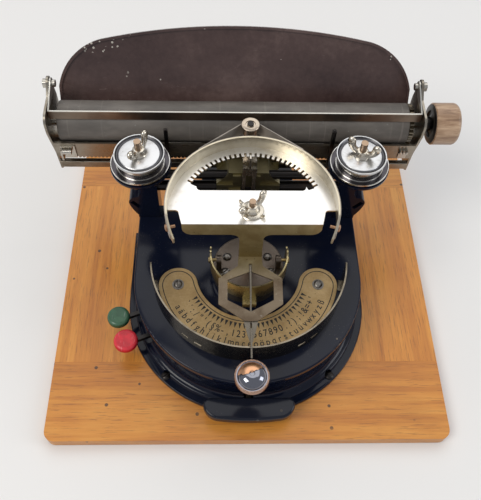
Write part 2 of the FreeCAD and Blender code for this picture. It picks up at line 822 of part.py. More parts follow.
def make_print_arm():
    top_leg = 108.0
    parts = []
    for side in (-1, 1):
        x0 = side * leg_x - leg_half
        leg = box(x0, x0 + 2 * leg_half, arm_pivot_y - 1.6, arm_pivot_y + 1.6, arm_pivot_z, top_leg)
        eye = cylinder(3.2, V(x0, arm_pivot_y, arm_pivot_z), RIGHT, 2 * leg_half)
        parts += [leg, eye]
    # Bridge between the legs, index tooth in front, foot of the roller behind.
    half = leg_x + leg_half
    tooth_back = comb_tip_r - GAP
    tooth_front = tooth_back - 3.2
    bridge = box(-half, half, tooth_front, arm_pivot_y + 1.6, top_leg - 4, top_leg + 3)
    foot = box(-half, half, arm_pivot_y, roller_y, top_leg, top_leg + 3)
    pad = cylinder(3.4, V(0, roller_y, top_leg), UP, 3)
    tooth = flat([
        V(-0.5, tooth_front, top_leg + 1), V(0.5, tooth_front, top_leg + 1),
        V(0.5, tooth_back - 0.6, top_leg + 1), V(0.2, tooth_back, top_leg + 1),
        V(-0.2, tooth_back, top_leg + 1), V(-0.5, tooth_back - 0.6, top_leg + 1),
    ]).extrude(V(0, 0, plate_top + 1.6 - top_leg - 1))
    pin_top = plate_top - sheet + ring_height + 1.9
    pin = cylinder(roller_bore_r - RUN, V(0, roller_y, top_leg), UP, pin_top - top_leg)
    collar = cylinder(3.4, V(0, roller_y, top_leg), UP, roller_low() - 0.2 - top_leg)
    arm = fuse(parts + [bridge, foot, pad, tooth, pin, collar])
    return arm.cut(cylinder(arm_pin_r + RUN, V(-12, arm_pivot_y, arm_pivot_z), RIGHT, 24))


def roller_low():
    return plate_top - sheet + 0.3


def make_roller():
    low = roller_low()
    high = plate_top - sheet + ring_height + 1.4
    roller = turned([
        (roller_bore_r, low), (roller_r, low),
        (roller_r, high - 1.6), (roller_flange_r - 0.6, high - 1.3), (roller_flange_r, high - 0.7),
        ((roller_flange_r - 0.2, high - 0.1), (roller_flange_r - 0.9, high)),
        (3.2, high), (3.0, high - 0.5), (roller_bore_r, high - 0.5),
    ])
    return moved(roller, 0, roller_y, 0)


def make_band_loop():
    # The lifted part of the type band: two straight flanks that are tangent to the
    # ring and to the roller, joined by an arc round the back of the roller.
    low = plate_top - sheet + 0.6
    tall = ring_height - 1.2
    big = ring_r + band_thick + GAP
    small = roller_r + GAP / 2
    # The arm turns with the loop, so its flanks leave the ring a little outside.
    lean = math.degrees(math.acos((big - small) / roller_y))

    def on_ring(side, radius):
        return polar(radius, side * lean, low)

    def on_roller(side, radius):
        p = polar(radius, side * lean, low)
        return V(p.x, p.y + roller_y, low)

    out_big = big + loop_thick
    out_small = small + loop_thick
    face = flat([
        on_ring(-1, big), on_roller(-1, small),
        (V(0, roller_y + small, low), on_roller(1, small)),
        on_ring(1, big), on_ring(1, out_big), on_roller(1, out_small),
        (V(0, roller_y + out_small, low), on_roller(-1, out_small)),
        on_ring(-1, out_big),
    ])
    return face.extrude(V(0, 0, tall))


def make_standard(side):
    # Front view of the casting, drawn for the right side.
    base = base_top
    seat = spool_seat - dish_depth
    x_in = standard_in
    x_out = standard_out
    y = standard_front
    outline = [
        V(x_in, y, base), V(x_out, y, base), V(x_out, y, base + 3),
        (V(x_out + 3.2, y, base + 9.5), V(x_out + 5.2, y, base + 16.5)),
        (V(x_out + 3.6, y, base + 21.5), V(x_out - 1.4, y, base + 23.5)),
        (V(x_out - 3.6, y, base + 27), V(x_out - 3.8, y, base + 32)),
        V(x_out - 3.8, y, seat), V(x_in + 1.2, y, seat), V(x_in, y, base + 46),
    ]
    body = flat(outline).extrude(V(0, standard_back - standard_front, 0))
    # Slanted window in the outer ear.
    window = box(-1.6, 1.6, y - 1, standard_back + 1, -4.2, 4.2)
    window = turn(window, V(0, 0, 0), BACK, 38)
    body = body.cut(moved(window, x_out + 0.6, 0, base + 15.2))
    # Above the cross rods the standard is cut back clear of the carriage.
    body = body.cut(box(x_in - 1, x_out + 9, 54.0, standard_back + 1, base + 46, seat + 1))
    # Seat that reaches forward to the spool axis.
    seat_low = seat - 7
    pad = cylinder(8.2, V(spool_x, spool_y, seat_low), UP, 7)
    neck = box(spool_x - 6.5, spool_x + 4.6, spool_y, standard_front + 4, seat_low, seat)
    dish = turned([
        (0, seat), (8.2, seat), ((15.5, seat + 0.6), (dish_r - 0.6, seat + 3.0)),
        ((dish_r - 0.1, seat + 3.8), (dish_r, seat + 4.8)), (dish_r, seat + dish_depth - 0.5),
        (dish_r - 1.1, seat + dish_depth - 0.5), (dish_r - 1.1, seat + 4.4),
        ((14.5, seat + 2.0), (8.0, seat + 1.4)), (0, seat + 1.4),
    ])
    body = fuse([body, pad, neck, moved(dish, spool_x, spool_y, 0)])
    body = body.cut(cylinder(post_r + 0.8, V(spool_x, spool_y, seat_low - 1), UP, 20))
    body = body.cut(cylinder(rod_high_r, V(x_in - 1, rod_high_y, rod_high_z), RIGHT, 8))
    body = body.cut(cylinder(rod_low_r, V(x_in - 1, rod_low_y, rod_low_z), RIGHT, 8))
    # A square hole takes the foot of the ribbon guide.
    body = body.cut(box(x_in - 1, x_in + 4, guide_foot_y0, guide_foot_y1, guide_foot_z0, guide_foot_z1))
    # Foot with its two fixing screws, reached through pockets.
    for place in frame_screw_places():
        if place.x > 0:
            body = body.cut(cylinder(3.4, V(place.x, place.y, base + 4), UP, 12))
            body = body.cut(cylinder(screw_r / 2 + 0.1, V(place.x, place.y, base - 1), UP, 8))
    return body if side > 0 else mirror_x(body)


guide_foot_y0 = 49.0
guide_foot_y1 = 52.0
guide_foot_z0 = 95.0
guide_foot_z1 = 98.0
guide_x = 53.0
guide_y = 57.0
guide_top = 127.3


def make_ribbon_guides():
    foot = box(guide_x - 1.2, standard_in + 4, guide_foot_y0, guide_foot_y1, guide_foot_z0, guide_foot_z1)
    turn_back = box(guide_x - 1.2, guide_x + 1.2, guide_foot_y0, guide_y + 1.1, guide_foot_z0, guide_foot_z1)
    blade = box(guide_x - 1.2, guide_x + 1.2, guide_y - 1.1, guide_y + 1.1, guide_foot_z0, guide_top - 1.2)
    ball = Part.makeSphere(1.1, V(guide_x, guide_y, guide_top - 1.3))
    one = fuse([foot, turn_back, blade, ball])
    return Part.makeCompound([one, mirror_x(one)])


def make_frame_screws():
    out = []
    for place in frame_screw_places():
        shank = cylinder(screw_r / 2 - 0.1, V(0, 0, -12), UP, 12)
        one = fuse([shank, slotted_head(3.0, 1.8)])
        out.append(moved(one, place.x, place.y, base_top + 4))
    for side in (-1, 1):
        shank = cylinder(1.3, V(0, 0, -6), UP, 6)
        one = fuse([shank, slotted_head(3.1, 1.6)])
        one.Placement = FreeCAD.Placement(V(side * 17.6, saddle_front, saddle_low + 3.4),
                                          FreeCAD.Rotation(UP, V(0, -1, 0)))
        out.append(one)
    return Part.makeCompound(out)


def make_cross_rods():
    reach = standard_in + 7
    high = cylinder(rod_high_r, V(-reach, rod_high_y, rod_high_z), RIGHT, 2 * reach)
    low = cylinder(rod_low_r, V(-reach, rod_low_y, rod_low_z), RIGHT, 2 * reach)
    low = low.cut(Part.makeCompound(saddle_screw_holes()))
    return Part.makeCompound([high, low])


def saddle_screw_holes():
    return [cylinder(1.3, V(side * 17.6, saddle_front - 1, saddle_low + 3.4), BACK, 7) for side in (-1, 1)]


def rail_slot(y):
    reach = 3 * saddle_half
    return box(-reach, reach, y - SLIDE, y + rail_width + SLIDE, rail_low - SLIDE, rail_low + rail_tall + SLIDE)


def make_front_saddle():
    y0 = saddle_front
    y1 = front_rail_y - 0.6
    half = saddle_half
    top = saddle_top_half
    shoulder = rail_low + 1.2
    face_y = y0 + 1.6
    face = both_sides([
        V(0, y0, saddle_low), V(half, y0, saddle_low), V(half, y0, shoulder), V(half - 1.0, y0, shoulder + 1.2),
        V(top + 3.2, y0, saddle_top - 6.0), V(top + 0.4, y0, saddle_top - 2.5), V(top, y0, saddle_top),
        V(0, y0, saddle_top),
    ])
    body = face.extrude(V(0, y1 - y0, 0))
    # The lower part stands proud of the upper part.
    body = body.cut(box(-half - 1, half + 1, y0 - 1, face_y, shoulder, saddle_top + 1))
    # The hook behind holds the front rail of the carriage.
    hook = box(-half, half, y1 - 1, front_rail_y + rail_width + SLIDE + 2.2, rail_low - 4.5, rail_low + rail_tall + 2.6)
    body = fuse([body, hook]).cut(rail_slot(front_rail_y))
    # Guide blocks on both sides of the print arm, and a small stop below on the left.
    half_groove = leg_x + leg_half + 0.7
    left = box(-half_groove - 5.2, -half_groove, face_y - 1.5, face_y + 1, shoulder + 0.4, saddle_top - 1.6)
    right = box(half_groove, half_groove + 2.8, face_y - 1.5, face_y + 1, shoulder + 0.4, saddle_top - 1.6)
    stop = box(-half_groove - 8.0, -half_groove + 0.4, y0 - 1.2, y0 + 1, saddle_low + 1.0, saddle_low + 7.2)
    body = fuse([body, left, right, stop])
    body = body.cut(cylinder(rod_high_r, V(-40, rod_high_y, rod_high_z), RIGHT, 80))
    body = body.cut(cylinder(rod_low_r, V(-40, rod_low_y, rod_low_z), RIGHT, 80))
    body = body.cut(Part.makeCompound(saddle_screw_holes()))
    # Upright groove for the legs of the print arm.
    return body.cut(box(-half_groove, half_groove, y0 - 2, y0 + 1.7, saddle_low - 1, saddle_top + 1))


def make_rear_saddle():
    y0 = rear_rail_y - 4.5
    y1 = rear_rail_y + rail_width + 4.5
    body = box(-saddle_half, saddle_half, y0, y1, pedestal_top, rail_low + rail_tall + 2.6)
    edges = [e for e in body.Edges if e.BoundBox.XLength > 1 and e.BoundBox.ZMin > rail_low]
    body = body.makeFillet(1.2, edges)
    return body.cut(rail_slot(rear_rail_y))


def make_arm_pin():
    half = leg_x + leg_half + GAP + 2.6
    return cylinder(arm_pin_r - 0.01, V(-half, arm_pivot_y, arm_pivot_z), RIGHT, 2 * half)


def make_spool_posts():
    seat = spool_seat - dish_depth
    out = []
    for side in (-1, 1):
        post = turned([
            (0, seat - 7), (post_r + 0.8, seat - 7), (post_r + 0.8, seat + 1.4), (5.0, seat + 1.4),
            (5.0, spool_seat), (post_r, spool_seat), (post_r, spool_seat + 20), (0, spool_seat + 20),
        ])
        out.append(moved(post, side * spool_x, spool_y, 0))
    return Part.makeCompound(out)


def make_spool(side):
    low = spool_seat + 0.2
    bore = post_r + RUN
    flange = low + spool_flange_thick
    can = flange + spool_can_height
    spool = turned([
        (bore, low), (spool_flange_r - 1.2, low), ((spool_flange_r - 0.2, low + 0.2), (spool_flange_r, low + 1.0)),
        (spool_flange_r, low + 1.6), (spool_flange_r - 0.7, low + 1.6), (spool_flange_r - 0.7, flange),
        (spool_can_r, flange), (spool_can_r, can), (bore, can),
    ])
    return moved(spool, side * spool_x, spool_y, 0)


def cover_low():
    return spool_seat + 0.2 + spool_flange_thick + spool_can_height


def make_cover(side):
    low = cover_low()
    bore = post_r + RUN
    r = spool_cover_r
    cover = turned([
        (bore, low), (r - 0.5, low), ((r - 0.1, low + 0.2), (r, low + 0.6)), (r, low + 1.5),
        ((r - 0.35, low + 1.9), (r - 0.7, low + 1.5)), (r - 0.9, low + cover_thick), (bore, low + cover_thick),
    ])
    return moved(cover, side * spool_x, spool_y, 0)


def make_spool_nuts():
    low = cover_low() + cover_thick + 0.2
    left = turn(wing_nut(post_r, 8.8, 13.0), V(0, 0, 0), UP, 62)
    right = turn(wing_nut(post_r, 8.8, 13.0), V(0, 0, 0), UP, -32)
    return Part.makeCompound([moved(left, -spool_x, spool_y, low), moved(right, spool_x, spool_y, low)])


def make_end_plate(x0):
    outline = flat([
        V(x0, 67.0, 76.5), V(x0, 66.0, 94.0),
        (V(x0, 63.0, 107.0), V(x0, 60.8, 117.0)),
        V(x0, 60.8, 123.0),
        (V(x0, 62.4, 127.4), V(x0, 66.5, 129.6)),
        V(x0, 80.0, 130.2), V(x0, bail_pivot_y - 3.6, bail_pivot_z + 2.2),
        (V(x0, bail_pivot_y, bail_pivot_z + 4.6), V(x0, bail_pivot_y + 4.2, bail_pivot_z + 1.6)),
        V(x0, 96.5, 118.0), V(x0, 96.0, 90.0), V(x0, 94.5, 76.5),
    ])
    plate = outline.extrude(V(end_thick, 0, 0))
    plate = plate.cut(cylinder(shaft_r + RUN, V(x0 - 1, platen_y, platen_z), RIGHT, 4))
    plate = plate.cut(cylinder(1.5 + RUN, V(x0 - 1, platen_y, feed_z()), RIGHT, 4))
    return plate.cut(cylinder(bail_pin_r, V(x0 - 1, bail_pivot_y, bail_pivot_z), RIGHT, 4))


def feed_z():
    return platen_z - platen_r - feed_r - 0.2


def rail_bar(y, left, right):
    bar = box(left, right, y, y + rail_width, rail_low, rail_low + rail_tall)
    edges = [e for e in bar.Edges if e.BoundBox.XLength > 10]
    return bar.makeFillet(0.5, edges)


def make_front_rail():
    # The front rail runs on through the right end plate, as a stub.
    left = carriage_left + end_thick
    right = carriage_right - end_thick
    bar = rail_bar(front_rail_y, left, right)
    return bar


def make_rear_rail():
    return rail_bar(rear_rail_y, carriage_left + end_thick, carriage_right - end_thick)


def make_paper_pan():
    # A trough under the platen, with an apron that hangs in front of it.
    r0 = platen_r + 1.4
    r1 = r0 + 0.8
    x0 = carriage_left + end_thick
    x1 = carriage_right - end_thick

    def at(radius, degrees):
        a = math.radians(degrees)
        return V(x0, platen_y + radius * math.cos(a), platen_z + radius * math.sin(a))

    arc = flat([at(r0, 200), (at(r0, 225), at(r0, 250)), at(r1, 250), (at(r1, 225), at(r1, 200))])
    trough = arc.extrude(V(x1 - x0, 0, 0))
    lip = at(r1, 200)
    apron_low = lip.z - 7.6
    apron = box(x0, x1, lip.y - 0.9, lip.y + 0.1, apron_low, lip.z + 0.6)
    shelf = box(x0, x1, lip.y - 0.9, lip.y + 0.6, lip.z - 0.2, lip.z + 0.6)
    return fuse([trough, apron, shelf])


def pan_lip():
    a = math.radians(200)
    r1 = platen_r + 2.2
    return platen_y + r1 * math.cos(a), platen_z + r1 * math.sin(a)


def make_rack():
    # Spacing rack under the apron: one tooth for each letter space.
    y, z = pan_lip()
    high = z - 7.6
    low = high - 5.4
    y0 = y - 0.9
    x0 = carriage_left + end_thick
    x1 = carriage_right - end_thick
    pitch = 2.54
    inset = 14.0
    count = int((x1 - x0 - 2 * inset) / pitch)
    points = [V(x0, y0, high), V(x0, y0, low + 1.2), V(x0 + inset, y0, low + 1.2)]
    for n in range(count):
        x = x0 + inset + n * pitch
        points += [V(x + 0.5, y0, low), V(x + 1.3, y0, low), V(x + pitch, y0, low + 1.2)]
    points += [V(x1, y0, low + 1.2), V(x1, y0, high)]
    return flat(points).extrude(V(0, 2.0, 0))


def make_carriage_clips():
    # A bent clamp at the left end and a spring clip at the right end of the apron.
    y, z = pan_lip()
    front = y - 0.9
    x0 = carriage_left + end_thick + 4.0
    clamp = box(x0, x0 + 9.5, front - 1.0, front, z - 12.0, z - 1.0)
    ear = box(x0, x0 + 1.2, front - 3.6, front, z - 12.0, z - 3.0)
    roller = cylinder(1.7, V(x0 + 1.2, front - 2.7, z - 4.5), RIGHT, 6.0)
    left = fuse([clamp, ear, roller])
    x1 = carriage_right - end_thick - 10.0
    spring = box(x1, x1 + 5.4, front - 0.8, front, z - 11.0, z - 3.0)
    prongs = [box(x1 + n * 2.2, x1 + n * 2.2 + 1.0, front - 2.6, front, z - 5.4, z - 3.0) for n in range(3)]
    return Part.makeCompound([left, fuse([spring] + prongs)])


def make_platen():
    length = platen_right - platen_left
    start = V(platen_left, platen_y, platen_z)
    rubber = tube(platen_r, platen_r - rubber_wall, start, RIGHT, length)
    rims = [e for e in rubber.Edges if e.BoundBox.XLength < 1e-3 and e.BoundBox.YLength > 2 * platen_r - 0.1]
    rubber = rubber.makeFillet(0.7, rims)
    core = cylinder(platen_r - rubber_wall, start, RIGHT, length)
    shaft_left = carriage_left - 2.0
    shaft = cylinder(shaft_r, V(shaft_left, platen_y, platen_z), RIGHT, wood_left + 6 - shaft_left)
    core = fuse([core, shaft])
    return rubber, core


def make_ratchet():
    x0 = platen_right + 0.2
    outer = platen_r - 0.3
    root = outer - 1.5
    points = []
    for n in range(ratchet_teeth):
        for part, radius in ((0.0, root), (0.38, outer), (0.62, outer)):
            a = 2 * math.pi * (n + part) / ratchet_teeth
            points.append(V(x0, platen_y + radius * math.cos(a), platen_z + radius * math.sin(a)))
    wheel = flat(points).extrude(V(ratchet_width, 0, 0))
    wheel = wheel.cut(cylinder(outer - 3.4, V(x0 + 1.4, platen_y, platen_z), RIGHT, 4))
    hub = cylinder(4.0, V(x0, platen_y, platen_z), RIGHT, ratchet_width + 1.0)
    return fuse([wheel, hub]).cut(cylinder(shaft_r, V(x0 - 1, platen_y, platen_z), RIGHT, 8))


def along_x(shape, x):
    # Lay a turned piece down, so that its height runs along X from the given place.
    out = turn(shape, V(0, 0, 0), BACK, 90)
    return moved(out, x, platen_y, platen_z)


def make_wood_knob():
    r = wood_r
    body = turned([
        (0, 1.4), (10.6, 1.4), (10.6, 0.0), (r - 0.6, 0.0), (r, 0.6), (r, wood_width - 3.0),
        ((r - 0.7, wood_width - 1.2), (r - 2.6, wood_width)), (0, wood_width),
    ])
    body = body.cut(cylinder(shaft_r, V(0, 0, -1), UP, 7.0))
    return along_x(body, wood_left)


def make_knob_plate():
    disc = turned([
        (shaft_r, -3.2), (4.6, -3.2), (4.6, -0.6), (6.6, 0.2), (8.6, 0.2), (9.0, -0.9), (12.0, -0.9),
        (12.8, -0.5), (12.8, 0.0), (10.6, 0.0), (10.6, 1.4), (shaft_r, 1.4),
    ])
    return along_x(disc, wood_left)


def make_feed_roll():
    z = feed_z()
    shaft = cylinder(1.5, V(carriage_left, platen_y, z), RIGHT, carriage_right - carriage_left)
    rolls = [cylinder(feed_r, V(x, platen_y, z), RIGHT, 46) for x in (-118, -32, 53)]
    return fuse([shaft] + rolls)


def make_bail():
    x0 = carriage_left + end_thick + 0.5
    x1 = carriage_right - end_thick - 0.5
    bar = box(x0, x1, bail_y, bail_y + bail_thick, bail_low, bail_high)
    arms = []
    for side_x in (x0, x1 - bail_thick):
        face = flat([
            V(side_x, bail_y, bail_low), V(side_x, bail_y, bail_high),
            V(side_x, bail_pivot_y - 2.6, bail_pivot_z + 2.6),
            (V(side_x, bail_pivot_y + 3.4, bail_pivot_z + 0.6), V(side_x, bail_pivot_y - 0.8, bail_pivot_z - 3.2)),
        ])
        arms.append(face.extrude(V(bail_thick, 0, 0)))
    bail = fuse([bar] + arms)
    return bail.cut(cylinder(bail_pin_r + RUN, V(x0 - 5, bail_pivot_y, bail_pivot_z), RIGHT, x1 - x0 + 10))


def make_bail_studs():
    out = []
    for side, face_x in ((-1, carriage_left), (1, carriage_right)):
        away = RIGHT * side
        inner = V(face_x - side * (end_thick + 3.6), bail_pivot_y, bail_pivot_z)
        pin = cylinder(bail_pin_r, inner, away, end_thick + 3.6)
        nut = cylinder(2.9, V(face_x, bail_pivot_y, bail_pivot_z), away, 2.6)
        flats = box(-9, 9, -2.5, 2.5, -9, 9)
        nut = nut.common(moved(flats, face_x, bail_pivot_y, bail_pivot_z))
        inner_nut = cylinder(2.3, inner, away, 1.8)
        out.append(fuse([pin, nut, inner_nut]))
    return Part.makeCompound(out)


def table_point(x, s, out=0.0):
    a = math.radians(table_lean)
    return V(x + table_mid(), table_y + s * math.sin(a) - out * math.cos(a),
             table_z + s * math.cos(a) + out * math.sin(a))


def table_mid():
    return (carriage_left + carriage_right) / 2


def table_outline(grow, out):
    h = table_half + grow
    knee_x = table_knee_x
    k = table_knee + grow
    t = table_top + grow
    s = table_shoulder
    mid_x = table_half * 0.900 + grow
    mid_s = table_knee * 0.755 + grow * 0.7

    def p(x, y):
        return table_point(x, y, out)

    return [
        p(-h, -table_below), p(-h, s), (p(-mid_x, mid_s), p(-knee_x, k)),
        (p(0, t), p(knee_x, k)), (p(mid_x, mid_s), p(h, s)), p(h, -table_below),
    ]


def make_paper_table():
    a = math.radians(table_lean)
    normal = V(0, -math.cos(a), math.sin(a))
    sheet_face = flat(table_outline(0, 0))
    plate = sheet_face.extrude(normal * table_sheet)
    # The edge is rolled forward into a narrow rim.
    outer = flat(table_outline(table_rim * 0.5, -0.4))
    inner = flat(table_outline(-table_rim * 0.7, -0.4))
    rim = outer.cut(inner).extrude(normal * (table_sheet + 1.6))
    # A tab at each side meets the end plate.
    inside = (carriage_right - carriage_left) / 2 - end_thick
    tabs = flat([
        table_point(-inside, -table_below), table_point(-inside, -table_below + 10),
        table_point(inside, -table_below + 10), table_point(inside, -table_below),
    ]).extrude(normal * table_sheet)
    return fuse([plate, rim, tabs])


def make_space_bar():
    top = bar_top
    low = top - bar_thick
    half = bar_half
    face = flat([
        V(-half + 5, bar_back, low), V(half - 5, bar_back, low),
        (V(half - 0.8, bar_back - 1.6, low), V(half, bar_back - 6.0, low)),
        (V(half - 3.6, bar_back - 11.2, low), V(half - 10.0, bar_front + 1.2, low)),
        (V(0, bar_front, low), V(-half + 10.0, bar_front + 1.2, low)),
        (V(-half + 3.6, bar_back - 11.2, low), V(-half, bar_back - 6.0, low)),
        (V(-half + 0.8, bar_back - 1.6, low), V(-half + 5, bar_back, low)),
    ])
    body = face.extrude(V(0, 0, bar_thick))
    edges = [e for e in body.Edges if abs(e.BoundBox.ZMin - top) < 1e-6]
    return body.makeFillet(1.6, edges)


def make_bar_arm():
    low = bar_top - bar_thick
    arm = box(-1.6, 1.6, bar_front + 4, bar_pivot_y + 3, low - 1.8, low)
    rise = box(-1.6, 1.6, bar_pivot_y - 4, bar_pivot_y + 3, low - 1.8, bar_pivot_z + 3)
    pin = cylinder(pin_r, V(-4.7, bar_pivot_y, bar_pivot_z), RIGHT, 9.4)
    pad = box(-5, 5, bar_front + 4, bar_back - 2.5, low - 1.8, low)
    return fuse([arm, rise, pin, pad])


def make_key_lever(tip):
    start, pivot, along = key_line(tip)
    bar = box(-3, key_reach + 3, -1.3, 1.3, -1.6, 1.6)
    stem = cylinder(1.6, V(0, 0, 0), UP, 4.4)
    pin = cylinder(pin_r, V(key_reach, -4.5, 0), BACK, 9.0)
    lever = turn(fuse([bar, stem, pin]), V(0, 0, 0), UP, key_lean)
    return moved(lever, start.x, start.y, start.z)


def make_key_cap(tip, radius):
    cap = turned([
        (0, 0), (radius - 1.0, 0), ((radius - 0.2, 0.4), (radius, 1.4)), (radius, key_cap_high - 2.0),
        ((radius - 0.8, key_cap_high - 0.5), (radius - 2.6, key_cap_high)), (0, key_cap_high - 0.4),
    ])
    cap = cap.cut(cylinder(1.6, V(0, 0, -1), UP, 3.4))
    return moved(cap, tip.x, tip.y, tip.z + 2.0)


def build():
    panel, front_cleat, rear_cleat = make_board()
    shell, deck, pedestal = make_base()
    rubber, core = make_platen()
    nodes = {
        "board_panel": panel,
        "board_cleats": Part.makeCompound([front_cleat, rear_cleat]),
        "base_casting": shell,
        "base_deck": deck,
        "base_pedestal": pedestal,
        "base_screws": Part.makeCompound([
            wood_screw(p, board_thick + flange_thick, 6.0 + flange_thick)
            for p in flange_screw_places()] + make_frame_screws().Solids),
        "index_plate": make_index_plate(),
        "index_screws": make_index_screws(),
        "guide_rail": make_guide_rail(),
        "hub_disc": make_hub_disc(),
        "hub_disc_screws": make_disc_screws(),
        "yoke": make_yoke(),
        "yoke_pins": make_yoke_pins(),
        "sector_frame": make_sector_frame(),
        "type_ring": make_type_ring(),
        "type_band": make_type_band(),
        "band_rivets": make_rivets(),
        "pointer": make_pointer(),
        "knob_lever": make_knob_lever(),
        "selector_knob": make_knob(),
        "hub_post": make_hub_post(),
        "hub_wing_nut": make_hub_nut(),
        "print_arm": make_print_arm(),
        "print_arm_pin": make_arm_pin(),
        "print_roller": make_roller(),
        "type_band_loop": make_band_loop(),
        "left_standard": make_standard(-1),
        "right_standard": make_standard(1),
        "ribbon_guides": make_ribbon_guides(),
        "cross_rods": make_cross_rods(),
        "front_saddle": make_front_saddle(),
        "rear_saddle": make_rear_saddle(),
        "spool_posts": make_spool_posts(),
        "left_spool": make_spool(-1),
        "left_spool_cover": make_cover(-1),
        "right_spool": make_spool(1),
        "right_spool_cover": make_cover(1),
        "spool_wing_nuts": make_spool_nuts(),
        "left_end_plate": make_end_plate(carriage_left),
        "right_end_plate": make_end_plate(carriage_right - end_thick),
        "front_rail": make_front_rail(),
        "rear_rail": make_rear_rail(),
        "paper_pan": make_paper_pan(),
        "spacing_rack": make_rack(),
        "carriage_clips": make_carriage_clips(),
        "platen_rubber": rubber,
        "platen_core": core,
        "platen_ratchet": make_ratchet(),
        "platen_knob": make_wood_knob(),
        "knob_plate": make_knob_plate(),
        "feed_roll": make_feed_roll(),
        "paper_bail": make_bail(),
        "bail_studs": make_bail_studs(),
        "paper_table": make_paper_table(),
        "space_bar": make_space_bar(),
        "space_bar_arm": make_bar_arm(),
        "green_key": make_key_cap(green_tip, 7.6),
        "green_key_lever": make_key_lever(green_tip),
        "red_key": make_key_cap(red_tip, 8.0),
        "red_key_lever": make_key_lever(red_tip),
    }
    return nodes


os.makedirs("parts", exist_ok=True)
for name, shape in build().items():
    shape.exportStep("parts/" + name + ".step")
    solids = len(shape.Solids)
    print(name, "solids", solids, "volume", round(shape.Volume, 1), "valid", shape.isValid())
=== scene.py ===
import json
import math

import bmesh
import bpy
from mathutils import Matrix, Vector


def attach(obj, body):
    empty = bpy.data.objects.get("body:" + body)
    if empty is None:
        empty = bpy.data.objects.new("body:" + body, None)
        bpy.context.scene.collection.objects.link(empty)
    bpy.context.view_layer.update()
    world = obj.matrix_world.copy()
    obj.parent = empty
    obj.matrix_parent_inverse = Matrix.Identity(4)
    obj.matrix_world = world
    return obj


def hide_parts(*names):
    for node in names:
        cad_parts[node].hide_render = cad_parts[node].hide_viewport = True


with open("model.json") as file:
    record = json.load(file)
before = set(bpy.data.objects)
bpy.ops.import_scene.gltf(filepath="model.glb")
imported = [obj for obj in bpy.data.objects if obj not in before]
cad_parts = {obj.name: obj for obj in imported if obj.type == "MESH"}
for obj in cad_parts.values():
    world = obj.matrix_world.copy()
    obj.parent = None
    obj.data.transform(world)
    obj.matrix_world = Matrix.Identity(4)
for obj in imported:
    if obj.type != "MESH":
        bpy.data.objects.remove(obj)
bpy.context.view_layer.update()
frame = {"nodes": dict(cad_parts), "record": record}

# Places and sizes that the scene shares with the CAD, in metres; heights are from the underside
# of the board. INDEX_END and COMB_PITCH are in degrees.
MM = 0.001
INDEX_TOP = 49.2 * MM
INDEX_OUTER = 61.1 * MM
INDEX_INNER = 35.1 * MM
INDEX_END = 12.5
COMB_PITCH = 4.25
SIGNS = 30
LEFT_SIGNS = 14
KNOB_CENTRE = Vector((0.0, -83.0 * MM, 0.0))
KNOB_RIM = 70.9 * MM
BAIL_EDGE = 128.6 * MM
SPOOL_X = 68.5 * MM
SPOOL_Y = 40.0 * MM
COVER_LOW = 121.5 * MM
SPOOL_NUT_LOW = 122.5 * MM
HUB_NUT_LOW = 119.0 * MM
ROLLER_TOP = 129.3 * MM
ROLLER_Y = 59.0 * MM
STEM_EDGE = (79.5 * MM, 84.5 * MM)
SECTOR_TOP_EDGE = (118.4 * MM, 118.7 * MM)
LID_FLOOR_EDGE = (121.7 * MM, 121.9 * MM)


# ---------------------------------------------------------------- shader maths
class Wire:
    """A value or colour inside a material. Arithmetic on it adds Math nodes."""

    def __init__(self, paint, socket):
        self.paint = paint
        self.socket = socket

    def _math(self, kind, *values, clamp=False):
        return self.paint.add("Math", {"operation": kind, "use_clamp": clamp},
                              **{f"i{n}": v for n, v in enumerate(values)})

    def __add__(self, other):
        return self._math("ADD", self, other)

    __radd__ = __add__

    def __sub__(self, other):
        return self._math("SUBTRACT", self, other)

    def __rsub__(self, other):
        return self._math("SUBTRACT", other, self)

    def __mul__(self, other):
        return self._math("MULTIPLY", self, other)

    __rmul__ = __mul__

    def __pow__(self, other):
        return self._math("POWER", self, other)

    def sine(self):
        return self._math("SINE", self)

    def clamp(self):
        return self._math("ADD", self, 0.0, clamp=True)

    def below(self, limit):
        return self._math("LESS_THAN", self, limit)

    def step(self, low, high):
        """0 under low, 1 over high, a smooth slope between."""
        return self.paint.add("MapRange", {"interpolation_type": "SMOOTHSTEP"},
                              Value=self, From_Min=low, From_Max=high)


